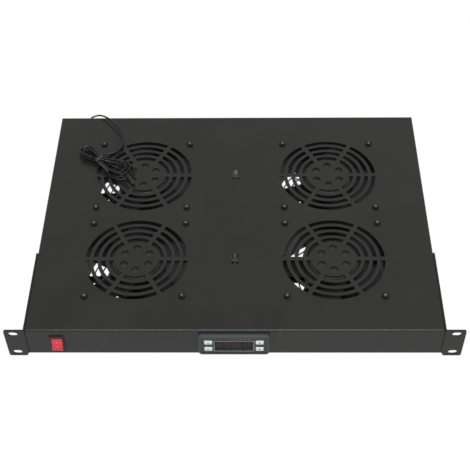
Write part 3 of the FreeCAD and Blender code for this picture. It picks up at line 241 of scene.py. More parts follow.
class Finishes:
    """Every finish of the tray. One that a record slot asks for has the slot's name in capitals."""

    # polyester powder coat over steel: an even satin black-grey with a fine orange peel
    BLACK_STEEL = Finish(
        "powder_coated_steel", "#171716", "#1b1b1a", 0.32, 0.03, shine=0.24, grain_mm=0.9,
        rise_mm=0.012, drift_mm=60.0,
    )
    # black oxide on steel: dark, a little oily, with a soft metallic sheen
    BLACK_SCREW = Finish(
        "black_oxide_steel", "#0c0c0c", "#121211", 0.34, shine=0.16, grain_mm=0.4, rise_mm=0.01,
        drift_mm=2.0,
    )
    # painted highlight: pale bare metal on the recess floors stands in for the glint in each cross
    # recess
    RUBBED = Finish(
        "recess_highlight_steel", "#a2a2a0", "#8c8c8a", 0.3, 0.08, metallic=1.0, grain_mm=0.2, rise_mm=0.008,
        drift_mm=1.0,
    )
    # bright zinc plate: pale blue-white metal, slightly cloudy
    ZINC = Finish(
        "zinc_plated_steel", "#b9bcbf", "#989a9b", 0.3, 0.1, metallic=1.0, rise_mm=0.01,
        drift_mm=3.0,
    )
    # enamelled die casting: black, with the small ripple of sprayed enamel
    FAN_CASTING = Finish(
        "enamelled_die_casting", "#0c0c0d", "#111112", 0.55, 0.08, shine=0.1, grain_mm=1.2,
        rise_mm=0.03, drift_mm=12.0,
    )
    # glass-filled nylon: matt black-grey with faint pale fibres at the surface
    FAN_BLADES = Finish(
        "glass_filled_nylon", "#0e0e0f", "#131314", 0.55, 0.1, shine=0.18, grain_mm=0.35,
        rise_mm=0.015, drift_mm=8.0,
    )
    SHAFT_STEEL = Finish(
        "ground_steel", "#a9abad", "#c3c5c7", 0.22, metallic=1.0, grain_mm=0.15, rise_mm=0.003,
        drift_mm=1.5, stretch=(1.0, 1.0, 12.0),
    )
    BEARING_BRONZE = Finish(
        "sintered_bronze", "#8c6a3f", "#a57f4c", 0.45, 0.1, metallic=1.0, grain_mm=0.12,
        rise_mm=0.02, drift_mm=1.0,
    )
    # enamelled copper wire: amber-brown gloss, wound in fine turns
    WINDING = Finish(
        "enamelled_copper", "#7d3a1c", "#9c5428", 0.28, 0.08, metallic=0.8, rise_mm=0.1,
        drift_mm=3.0, stretch=(0.3, 0.3, 3.0),
    )
    # moulded ABS in a blue-tinted dark grey with a spark-eroded texture
    BEZEL_GREY = Finish(
        "moulded_abs", "#2c3031", "#272b2c", 0.46, 0.05, shine=0.3, grain_mm=0.25, rise_mm=0.01,
        drift_mm=9.0,
    )
    BLACK_PLASTIC = Finish(
        "moulded_nylon", "#111112", "#161617", 0.45, 0.07, shine=0.25, grain_mm=0.3, rise_mm=0.012,
        drift_mm=10.0,
    )
    # clear acrylic dyed dark red-brown, which half hides the display behind it
    SMOKED_WINDOW = Finish(
        "smoked_acrylic", "#181314", "#1d1516", 0.12, 0.03, shine=0.25, grain_mm=4.0, rise_mm=0.002,
        drift_mm=12.0, ior=1.49, alpha=0.55,
    )
    DISPLAY = Finish(
        "display_epoxy", "#351a20", "#3f2027", 0.4, 0.05, grain_mm=0.4, rise_mm=0.004, drift_mm=6.0,
    )
    SEGMENT = Finish(
        "unlit_segment", "#a8505c", "#b45a66", 0.5, 0.05, grain_mm=0.3, rise_mm=0.003, drift_mm=3.0,
    )
    # unlit pilot spots: clear resin with a little red in it
    PILOT = Finish(
        "pilot_resin", "#6e5457", "#745b5e", 0.4, 0.05, shine=0.3, grain_mm=0.3, rise_mm=0.003,
        drift_mm=3.0,
    )
    # pad-printed line round the window, a satin grey-green
    LINE = Finish(
        "printed_line", "#5f6967", "#6a7371", 0.4, 0.05, grain_mm=0.3, rise_mm=0.003, drift_mm=5.0,
    )
    # brushed foil disc on each hub: straight fine scratches in a dull grey
    FOIL = Finish(
        "hub_foil", "#1e1e1d", "#252524", 0.42, 0.08, shine=0.3, grain_mm=0.25, rise_mm=0.004,
        drift_mm=9.0, stretch=(1.0, 9.0, 1.0),
    )
    BOARD = Finish(
        "solder_mask", "#1c5a34", "#226a3c", 0.3, grain_mm=0.6, rise_mm=0.008, drift_mm=4.0,
    )
    KEY_WHITE = Finish(
        "silicone_key", "#b9c0c1", "#b0b7b9", 0.42, 0.05, grain_mm=0.3, drift_mm=3.0,
    )
    KEY_PRINT = Finish(
        "pad_print", "#5c6669", "#545e61", 0.5, 0.04, grain_mm=0.2, rise_mm=0.002, drift_mm=2.0,
    )
    # translucent polycarbonate, red through the body with a moulded gloss, and a faint painted glow
    # for light passing through it
    ROCKER_RED = Finish(
        "red_polycarbonate", "#b01c2c", "#a51828", 0.24, 0.04, shine=0.35, grain_mm=1.5,
        rise_mm=0.004, drift_mm=6.0, ior=1.58, coat=0.1, glow=0.08,
    )
    ROCKER_PRINT = Finish(
        "rocker_print", "#b4606a", "#bd6f77", 0.45, 0.04, grain_mm=0.3, rise_mm=0.002, drift_mm=2.0,
    )
    CONTACT_METAL = Finish(
        "nickel_plated_brass", "#bcb9b0", "#a8a59d", 0.25, 0.07, metallic=1.0, grain_mm=0.3,
        rise_mm=0.004, drift_mm=2.0,
    )
    # soft PVC jacket, satin black with faint draw marks
    LEAD_BLACK = Finish(
        "pvc_jacket", "#080809", "#0d0d0e", 0.3, shine=0.26, grain_mm=0.8, rise_mm=0.01,
        drift_mm=5.0,
    )
    RUBBER = Finish(
        "rubber", "#121212", "#1a1a1a", 0.65, 0.08, grain_mm=0.3, rise_mm=0.012, drift_mm=4.0,
    )
    TIE = Finish(
        "nylon_tie", "#1b1b1b", "#232323", 0.4, grain_mm=0.4, drift_mm=3.0,
    )
    PROBE = Finish(
        "shrink_sleeve", "#0f0f10", "#151516", 0.5, 0.08, shine=0.3, rise_mm=0.015, drift_mm=3.0,
    )


@cache
def look(finish: Finish) -> bpy.types.Material:
    """The material of a finish, built the first time that it is asked for."""
    return finish.build()


def linked(name: str, data: bpy.types.ID) -> bpy.types.Object:
    """Puts data into the scene as an object at the origin.

    Args:
        name: the object's name.
        data: its mesh, curve, camera or lamp.

    Returns:
        The object.
    """
    made = bpy.data.objects.new(name, data)
    bpy.context.scene.collection.objects.link(made)
    return made


def to_data(mesh: BMesh, name: str = "part") -> bpy.types.Mesh:
    """Turns a bmesh into mesh data.

    Args:
        mesh: the bmesh; it is freed.
        name: the data's name.

    Returns:
        The mesh data.
    """
    data = bpy.data.meshes.new(name)
    mesh.to_mesh(data)
    mesh.free()
    return data


def new_piece(
    name: str, mesh: BMesh, material: bpy.types.Material, smooth: float = 0.0
) -> bpy.types.Object:
    """Turns a finished bmesh into an object at the origin.

    Args:
        name: the piece's name.
        mesh: its bmesh, in the model's frame; it is freed.
        material: its finish.
        smooth: edges up to this angle are shaded smooth, in degrees.

    Returns:
        The linked object.
    """
    piece = linked(name, to_data(mesh, name))
    piece.data.materials.append(material)
    if smooth:
        piece.data.set_sharp_from_angle(angle=math.radians(smooth))
        piece.data.polygons.foreach_set("use_smooth", [True] * len(piece.data.polygons))
    return piece


def lathe(profile: list[tuple[float, float]], steps: int = 32) -> BMesh:
    """Turns a profile about Z.

    Args:
        profile: (radius, height) points from the axis out and round to the axis, in metres.
        steps: faces round the axis.

    Returns:
        A closed bmesh.
    """
    mesh = bmesh.new()
    turns = [turned(360.0 * k / steps) for k in range(steps)]
    rings = [
        [mesh.verts.new(turn @ Vector((radius, 0.0, height))) for turn in turns]
        for radius, height in profile
    ]
    for near, far in zip(rings, rings[1:]):
        for k in range(steps):
            mesh.faces.new((near[k - 1], near[k], far[k], far[k - 1]))
    bmesh.ops.remove_doubles(mesh, verts=mesh.verts, dist=1e-7)
    bmesh.ops.recalc_face_normals(mesh, faces=mesh.faces)
    return mesh


def block(size: Vector, centre: Vector, bevel: float = 0.0, segments: int = 2) -> BMesh:
    """Makes a block with rounded edges.

    Args:
        size: its length on each axis, in metres.
        centre: its middle.
        bevel: radius of its edges.
        segments: faces across each round.

    Returns:
        A closed bmesh.
    """
    mesh = bmesh.new()
    bmesh.ops.create_cube(mesh, size=1.0)
    bmesh.ops.scale(mesh, vec=size, verts=mesh.verts)
    bmesh.ops.translate(mesh, vec=centre, verts=mesh.verts)
    if bevel:
        bmesh.ops.bevel(
            mesh, geom=list(mesh.edges), offset=bevel, segments=segments, profile=0.5,
            affect="EDGES", material=-1,
        )
    return mesh


def joined(meshes: list[BMesh]) -> BMesh:
    """Puts several bmeshes into one.

    Args:
        meshes: the bmeshes; each is freed.

    Returns:
        One bmesh that holds them all.
    """
    whole = bmesh.new()
    for mesh in meshes:
        data = to_data(mesh)
        whole.from_mesh(data)
        bpy.data.meshes.remove(data)
    return whole


def copies(mesh: BMesh, places: list[Matrix]) -> BMesh:
    """Repeats a bmesh at several places.

    Args:
        mesh: the bmesh to repeat; it is freed.
        places: a matrix for each copy.

    Returns:
        One bmesh that holds every copy.
    """
    data = to_data(mesh)
    whole = bmesh.new()
    for place in places:
        before = len(whole.verts)
        whole.from_mesh(data)
        whole.verts.ensure_lookup_table()
        bmesh.ops.transform(whole, matrix=place, verts=whole.verts[before:])
    bpy.data.meshes.remove(data)
    return whole


def cut_away(body: BMesh, cutter: BMesh) -> BMesh:
    """Cuts one closed bmesh out of another.

    Args:
        body: what is cut; it is freed.
        cutter: what is taken away; it is freed.

    Returns:
        The cut bmesh.
    """
    objects = [linked("part", to_data(mesh)) for mesh in (body, cutter)]
    rule = objects[0].modifiers.new("cut", "BOOLEAN")
    rule.operation, rule.solver, rule.object = "DIFFERENCE", "EXACT", objects[1]
    ready = objects[0].evaluated_get(bpy.context.evaluated_depsgraph_get())
    result = bmesh.new()
    result.from_mesh(ready.to_mesh())
    ready.to_mesh_clear()
    for made in objects:
        data = made.data
        bpy.data.objects.remove(made)
        bpy.data.meshes.remove(data)
    return result


def mm(x: float, y: float, z: float) -> Vector:
    """A vector given in millimetres."""
    return Vector((x, y, z)) * MM


def turned(degrees: float) -> Matrix:
    """A turn about Z."""
    return Matrix.Rotation(math.radians(degrees), 4, "Z")


def corners(node: str) -> tuple[Vector, Vector]:
    """The low and high corners of a CAD node's box."""
    low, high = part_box(node)
    return Vector(low), Vector(high)


def middle(node: str) -> Vector:
    """The middle of a CAD node's box."""
    low, high = corners(node)
    return (low + high) / 2


@dataclass
class StudioCamera:
    """The camera: above and in front of the tray, looking down on it."""

    place: tuple[float, float, float] = (0.01695, -0.6281, 0.8868)
    pitch: float = -48.62
    yaw: float = -1.29
    roll: float = -1.05
    lens: float = 78.2

    def build(self) -> None:
        """Makes the camera and gives it to the scene."""
        pitch, yaw, roll = (math.radians(a) for a in (self.pitch, self.yaw, self.roll))
        flat = math.cos(pitch)
        ahead = Vector((math.sin(yaw) * flat, math.cos(yaw) * flat, math.sin(pitch)))
        right = ahead.cross(Vector((0, 0, 1))).normalized()
        up = right.cross(ahead)
        level = right * math.cos(roll) + up * math.sin(roll)
        raised = up * math.cos(roll) - right * math.sin(roll)
        data = bpy.data.cameras.new("camera")
        data.lens, data.sensor_width = self.lens, 36.0
        data.clip_start, data.clip_end = 0.05, 50.0
        camera = linked("camera", data)
        turn = Matrix((level, raised, -ahead)).transposed().to_4x4()
        camera.matrix_world = Matrix.Translation(self.place) @ turn
        bpy.context.scene.camera = camera


@dataclass
class Studio:
    """Pale floor, a long lamp high above the front, and two soft ones at the right and the rear."""

    floor_level: float = -0.0221
    floor_wide: float = 6.0
    floor_white: float = 0.95
    world_light: float = 0.3
    # name, place, target, width and height in metres, watts
    lamps: tuple[tuple, ...] = (
        ("key_lamp", (0.9, -0.35, 1.25), (0.0, 0.15, 0.0), (0.7, 0.7), 5.0),
        ("front_lamp", (0.05, -0.7, 1.35), (0.05, 0.0, 0.0), (1.1, 0.2), 30.0),
        ("rear_lamp", (0.6, 1.3, 1.2), (0.1, 0.2, 0.0), (0.9, 0.9), 0.3),
    )

    def build(self) -> None:
        """Makes the floor, the world and the lamps."""
        self._floor()
        self._world()
        for name, place, aim, (wide, high), watts in self.lamps:
            data = bpy.data.lights.new(name, "AREA")
            data.shape, data.size, data.size_y, data.energy = "RECTANGLE", wide, high, watts
            lamp = linked(name, data)
            away = Vector(place) - Vector(aim)
            turn = away.to_track_quat("Z", "Y").to_matrix().to_4x4()
            lamp.matrix_world = Matrix.Translation(place) @ turn

    def _shown(self, tree: bpy.types.NodeTree) -> bpy.types.NodeSocket:
        """Adds the test for rays that show the background itself.

        Args:
            tree: the floor's or the world's node tree.

        Returns:
            A socket that is 1 for camera, glossy and transmission rays.
        """
        seen = add_node(tree, "LightPath")
        value = seen.outputs["Is Camera Ray"]
        for kind in ("Is Glossy Ray", "Is Transmission Ray"):
            value = add_node(
                tree, "Math", settings={"operation": "MAXIMUM"},
                links={0: value, 1: seen.outputs[kind]},
            ).outputs["Value"]
        return value

    def _floor(self) -> None:
        """A wide pale floor that shows white and keeps a part of the shadow."""
        mesh = bmesh.new()
        bmesh.ops.create_grid(mesh, x_segments=1, y_segments=1, size=self.floor_wide / 2)
        bmesh.ops.translate(mesh, vec=(0, 0, self.floor_level), verts=mesh.verts)
        material, tree = blank_material("studio_floor")
        matt = add_node(tree, "BsdfDiffuse", values={"Color": linear("#fafafa"), "Roughness": 0.5})
        white = add_node(tree, "Emission", values={"Color": linear("#ffffff"), "Strength": 1.0})
        part = add_node(
            tree, "Math", settings={"operation": "MULTIPLY"}, values={1: self.floor_white},
            links={0: self._shown(tree)},
        )
        mixed = add_node(
            tree, "MixShader",
            links={
                "Fac": part.outputs["Value"], 1: matt.outputs["BSDF"], 2: white.outputs["Emission"],
            },
        )
        add_node(tree, "OutputMaterial", links={"Surface": mixed.outputs["Shader"]})
        floor = new_piece("floor", mesh, material)

    def _world(self) -> None:
        """White to the eye and in reflections through clear parts, softer as a light."""
        world = bpy.data.worlds.new("studio")
        bpy.context.scene.world = world
        world.use_nodes = True
        tree = world.node_tree
        tree.nodes.clear()
        strength = add_node(
            tree, "MapRange", values={"To Min": self.world_light, "To Max": 1.0},
            links={"Value": self._shown(tree)},
        )
        back = add_node(
            tree, "Background", values={"Color": linear("#ffffff")},
            links={"Strength": strength.outputs["Result"]},
        )
        add_node(tree, "OutputWorld", links={"Surface": back.outputs["Background"]})


@dataclass
class SensorLead:
    """Thin temperature-sensor lead: out of the rear wall, over the top, into a tied hank."""

    thick: float = 2.2 * MM
    row: float = 2.26 * MM
    top: float = 22.5 * MM
    clear: float = 0.05 * MM
    # share of the straight runs between control points that the curve keeps
    kept: float = 0.95
    # routes, tips and turns are in millimetres and degrees
    tie: tuple[float, float] = (-163.0, 248.5)
    left_tip: tuple[float, float] = (-191.5, 270.5)
    right_tip: tuple[float, float] = (-126.0, 223.5)
    route: tuple[tuple[float, float, float], ...] = (
        (-188.0, 331.6, 5.0),
        (-188.0, 338.5, 5.0),
        (-186.0, 343.0, 10.0),
        (-179.5, 339.5, 16.8),
        (-171.0, 332.5, 24.8),
        (-160.0, 323.0, 28.4),
        (-150.0, 311.5, 28.6),
        (-142.5, 299.5, 28.0),
        (-139.0, 286.5, 26.3),
        (-138.5, 273.5, 25.6),
        (-145.0, 265.4, 25.4),
        (-153.0, 262.4, 25.2),
        (-162.0, 262.0, 25.0),
        (-165.8, 259.8, 24.6),
        (-167.2, 256.2, 24.2),
        (-165.8, 252.4, 23.8),
    )
    # each turn: right reach, right half width, right lean, left reach, left half width, left lean
    turns: tuple[tuple[float, ...], ...] = (
        (47.0, 14.5, 5.0, 33.0, 7.6, -17.0),
        (45.0, 13.0, -3.0, 32.5, 7.2, 2.0),
        (41.0, 12.0, 8.0, 32.5, 7.4, -8.0),
        (37.0, 10.5, 2.0, 31.0, 7.0, 1.0),
        (32.0, 9.0, 6.5, 29.5, 6.8, -8.0),
        (26.5, 7.4, 0.0, 27.5, 6.6, -4.0),
    )
    lobe_steps: int = 8
    # largest value of the sine times the way out, so that half is the real half width
    lobe_peak: float = 0.65
    # columns and rows of the strands in the tie, going out and coming back, and rows further out
    out_places: tuple[tuple[float, int], ...] = (
        (2.3, 0), (2.3, 1), (2.3, 2), (2.3, 3), (0.0, 3), (0.0, 2),
    )
    back_places: tuple[tuple[float, int], ...] = (
        (-2.3, 0), (-2.3, 1), (-2.3, 2), (-2.3, 3), (0.0, 0), (0.0, 1),
    )
    levels: tuple[float, ...] = (0, 1, 2, 3, 0.2, 1.2)
    probe_from: tuple[float, float] = (-131.5, 229.5)
    probe_to: tuple[float, float] = (-119.5, 210.5)
    probe_wide: float = 5.0 * MM
    nose_from: float = 19.5 * MM

    def build(self) -> None:
        points = [Vector(p) * MM for p in self.route] + self._hank() + self._tail()
        curve = bpy.data.curves.new("sensor_cord", "CURVE")
        curve.dimensions = "3D"
        spline = curve.splines.new("NURBS")
        spline.points.add(len(points) - 1)
        for control, point in zip(spline.points, points):
            control.co = (*point, 1.0)
        spline.order_u = 3
        spline.use_endpoint_u = True
        spline.resolution_u = 6
        curve.bevel_depth = self.thick / 2
        curve.bevel_resolution = 3
        curve.use_fill_caps = True
        cord = linked("sensor_cord", curve)
        curve.materials.append(look(Finishes.LEAD_BLACK))
        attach(cord, "tray")
        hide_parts("sensor_lead", "sensor_lead_hank")
        band = self._band()
        probe = self._probe()
        log.info("sensor lead: %d control points, %.2f m", len(points), self._long(points))

    def _long(self, points: list[Vector]) -> float:
        """Length of the runs between the control points, less what the curve cuts off."""
        return sum((b - a).length for a, b in zip(points, points[1:])) * self.kept

    def _lobe(
        self, tip: tuple[float, float], reach: float, half: float, lean: float,
        columns: tuple[float, float], rows: tuple[float, float], level: float,
    ) -> list[Vector]:
        """One loop of a turn, from the tie out to a tip and back, less its last point.

        Args:
            tip: point that the lobe heads for, in millimetres.
            reach: how far the loop goes, in millimetres.
            half: half its width, signed for the side that it starts on.
            lean: turn of the whole loop about the tie, in degrees.
            columns: offset across the tie at its start and end, in millimetres.
            rows: height above the panel at its start and end, in metres.
            level: height of the loop's far part above the panel, in metres.

        Returns:
            Control points in metres.
        """
        along = (Vector(tip) - Vector(self.tie)).normalized()
        along.rotate(Matrix.Rotation(math.radians(lean), 2))
        across = Vector((-along.y, along.x))
        made = []
        for step in range(self.lobe_steps):
            share = step / self.lobe_steps
            turn = 2 * math.pi * share
            out = (1 - math.cos(turn)) / 2
            side = half * math.sin(turn) * out / self.lobe_peak
            side += (columns[0] * (1 - share) + columns[1] * share) * (1 - out)
            flat = Vector(self.tie) + along * reach * out + across * side
            height = rows[0] * (1 - share) + rows[1] * share
            height = height * (1 - out) + level * out
            made.append(Vector((flat.x * MM, flat.y * MM, self.top + height)))
        return made

    def _hank(self) -> list[Vector]:
        """Runs the lead through every turn, right lobe then left lobe.

        Returns:
            Control points in metres.
        """
        base = self.thick / 2 + self.clear
        made = []
        for k, (reach, half, lean, reach_l, half_l, lean_l) in enumerate(self.turns):
            out, back = self.out_places[k], self.back_places[k]
            after = self.out_places[min(k + 1, len(self.turns) - 1)]
            level = base + self.levels[k] * self.row
            made += self._lobe(
                self.right_tip, reach, half, lean, (out[0], back[0]),
                (base + out[1] * self.row, base + back[1] * self.row), level,
            )
            made += self._lobe(
                self.left_tip, reach_l, half_l, lean_l, (-back[0], -after[0]),
                (base + back[1] * self.row, base + after[1] * self.row), level,
            )
        return made

    def _tail(self) -> list[Vector]:
        """Runs the lead from the last turn into the probe's sleeve, 4 mm deep.

        Returns:
            Control points in metres.
        """
        tie, start = Vector(self.tie), Vector(self.probe_from)
        heading = (Vector(self.probe_to) - start).normalized()
        height = self.top + self.probe_wide / 2 + self.clear
        spots = [
            (tie + Vector((6.0, -3.0)), height + 2 * self.row),
            (tie + Vector((17.0, -9.5)), height + self.row),
            (start - heading * 9.0 - Vector((2.0, 0.0)), height),
            (start - heading * 4.0, height),
            (start + heading * 4.0, height),
        ]
        return [Vector((flat.x * MM, flat.y * MM, z)) for flat, z in spots]

    def _band(self) -> bpy.types.Object:
        """Nylon tie round the waist of the hank, with its lock head and cut tail.

        Returns:
            The tie.
        """
        along = (Vector(self.right_tip) - Vector(self.left_tip)).normalized()
        turn = Matrix.Rotation(math.atan2(along.y, along.x), 4, "Z")
        place = Matrix.Translation((self.tie[0] * MM, self.tie[1] * MM, self.top)) @ turn
        # the ring is 3.4 mm wide and 1 mm thick, and the head has a slot for the strap
        outer = block(mm(3.4, 9.4, 10.2), mm(0, 0, 5.15), 1.6 * MM, 4)
        inner = block(mm(6.0, 7.2, 8.2), mm(0, 0, 5.1), 0.8 * MM, 3)
        ring = cut_away(outer, inner)
        head = cut_away(
            block(mm(4.6, 5.4, 3.4), mm(0.0, -4.4, 8.6), 0.5 * MM),
            block(mm(6.0, 1.3, 2.6), mm(0.0, -5.2, 9.0)),
        )
        # the cut tail leaves the slot and dips a little
        tail = block(mm(2.4, 19.5, 0.9), mm(0, -9.75, 0), 0.25 * MM)
        sweep = Matrix.Translation(mm(2.2, -5.9, 8.6)) @ turned(80)
        sweep = sweep @ Matrix.Rotation(math.radians(5), 4, "X")
        bmesh.ops.transform(tail, matrix=sweep, verts=tail.verts)
        mesh = joined([ring, head, tail])
        bmesh.ops.transform(mesh, matrix=place, verts=mesh.verts)
        band = new_piece("hank_tie", mesh, look(Finishes.TIE), SMOOTH)
        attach(band, "tray")
        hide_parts("sensor_tie")
        return band

    def _probe(self) -> bpy.types.Object:
        """Sensor bead under a shrunk sleeve: a neck on the lead, a round nose at the end.

        Returns:
            The probe.
        """
        r, t = self.probe_wide / 2, self.thick / 2
        nose = [
            (r * math.cos(a), self.nose_from + r * math.sin(a))
            for a in (math.radians(d) for d in range(0, 91, 15))
        ]
        # the sleeve's mouth grips the lead, then swells over the bead
        profile = [(0.0, -2.0 * MM), (t * 1.15, -2.0 * MM), (t * 1.25, -0.4 * MM)]
        profile += [(r * 0.8, 1.2 * MM), (r, 3.0 * MM), (r * 0.98, 11.0 * MM), *nose[:-1]]
        mesh = lathe([*profile, (0.0, nose[-1][1])], 28)
        start, end = Vector((*self.probe_from, 0)), Vector((*self.probe_to, 0))
        turn = (end - start).normalized().to_track_quat("Z", "Y").to_matrix().to_4x4()
        level = self.top + r + self.clear
        place = Matrix.Translation((start.x * MM, start.y * MM, level)) @ turn
        bmesh.ops.transform(mesh, matrix=place, verts=mesh.verts)
        probe = new_piece("probe_sleeve", mesh, look(Finishes.PROBE), ROUNDED)
        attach(probe, "tray")
        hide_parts("sensor_probe")
        return probe


@dataclass
class PanScrews:
    """Pan-head screws with a cross recess."""

    # turn of the first screw and from each to the next, in degrees
    first_turn: float = 15.0
    next_turn: float = 47.0
    inlet_head: float = 5.6 * MM
    head_wide: float = 7.8 * MM
    head_high: float = 2.4 * MM
    shank_wide: float = 4.0 * MM
    arm_long: float = 4.4 * MM
    arm_wide: float = 0.95 * MM
    recess: float = 1.6 * MM

    def one(self, long: float, scale: float = 1.0) -> BMesh:
        """One screw: its seat at the origin, its head up.

        Args:
            long: length under the head, in metres.
            scale: size of the head against the full one.

        Returns:
            A closed bmesh.
        """
        r, h, s = self.head_wide / 2 * scale, self.head_high * scale, self.shank_wide / 2 * scale
        crown = [(r * share, h * (1 - 0.22 * share**2.4)) for share in (0.25, 0.5, 0.7, 0.85, 0.95)]
        profile = [(0.0, h), *crown, (r, h * 0.62), (r, 0.1 * h), (r * 0.97, 0.0), (s, 0.0)]
        profile += [(s, -long + s * 0.3), (s * 0.7, -long), (0.0, -long)]
        body = lathe(profile, 36)
        size = Vector((self.arm_long, self.arm_wide, self.recess * 2)) * scale
        for turn in (0.0, 90.0):
            arm = block(size, Vector((0, 0, h)))
            low = [v for v in arm.verts if v.co.z < h]
            bmesh.ops.scale(arm, vec=(0.45, 0.7, 1.0), verts=low)
            bmesh.ops.rotate(arm, matrix=turned(turn).to_3x3(), verts=arm.verts)
            body = cut_away(body, arm)
        return body

    def floor(self, scale: float = 1.0) -> BMesh:
        """Pale cross on the recess's floor, just under the crown: a painted highlight for the glint
        in the recess.

        Args:
            scale: size of the head against the full one.

        Returns:
            A closed bmesh.
        """
        arms = []
        for long, wide in ((self.arm_long, self.arm_wide), (self.arm_wide, self.arm_long)):
            size = Vector((long * 0.8, wide * 0.8, self.recess * 0.8 / scale)) * scale
            arms.append(block(size, Vector((0, 0, self.head_high * scale - size.z * 0.62))))
        return joined(arms)

    def place(
        self, name: str, node: str, spots: list[Vector], axis: list[Axis], long: float,
        scale: float = 1.0,
    ) -> None:
        """Makes a group of screws that stands for a CAD node.

        Args:
            name: the piece's name.
            node: the CAD node that it replaces.
            spots: where each head seats.
            axis: which way each head faces.
            long: length under the head.
            scale: size of the head against the full one.
        """
        places = [
            Matrix.Translation(spot)
            @ faced.matrix()
            @ turned(self.first_turn + self.next_turn * k)
            for k, (spot, faced) in enumerate(zip(spots, axis))
        ]
        mesh = copies(self.one(long, scale), places)
        screws = new_piece(name, mesh, look(Finishes.BLACK_SCREW), HEAD_SMOOTH)
        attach(screws, "tray")
        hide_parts(node)
        # the pale crosses in the recesses are a painted highlight, not wear
        name = name.replace("heads", "recess_highlights")
        floors = new_piece(name, copies(self.floor(scale), places), look(Finishes.RUBBED))
        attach(floors, "tray")

    def build(self) -> None:
        """Makes the screws of the fans, the ears and the inlet."""
        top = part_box("top_panel")[1][2]
        spots = [
            Vector((centre.x + x, centre.y + y, top))
            for centre in (middle(f"{fan}_fan_frame") for fan in FANS)
            for x in (-FAN_HOLE, FAN_HOLE)
            for y in (-FAN_HOLE, FAN_HOLE)
        ]
        self.place("fan_screw_heads", "fan_screws", spots, [Axis.UP] * len(spots), 12.0 * MM)

        low, high = corners("ear_screws")
        first, last = low.y + self.head_wide / 2, high.y - self.head_wide / 2
        spots, faces = [], []
        for side, face in ((low.x, Axis.LEFT), (high.x, Axis.RIGHT)):
            seat = side + math.copysign(self.head_high, -side)
            for y in (first, (first + last) / 2, last):
                spots.append(Vector((seat, y, (low.z + high.z) / 2)))
                faces.append(face)
        self.place("ear_screw_heads", "ear_screws", spots, faces, 8.0 * MM)

        low, high = corners("inlet_screws")
        scale, half = self.inlet_head / self.head_wide, self.inlet_head / 2
        seat = high.y - self.head_high * scale
        spots = [Vector((x, seat, (low.z + high.z) / 2)) for x in (low.x + half, high.x - half)]
        self.place(
            "inlet_screw_heads", "inlet_screws", spots, [Axis.REAR] * 2, seat - low.y, scale
        )


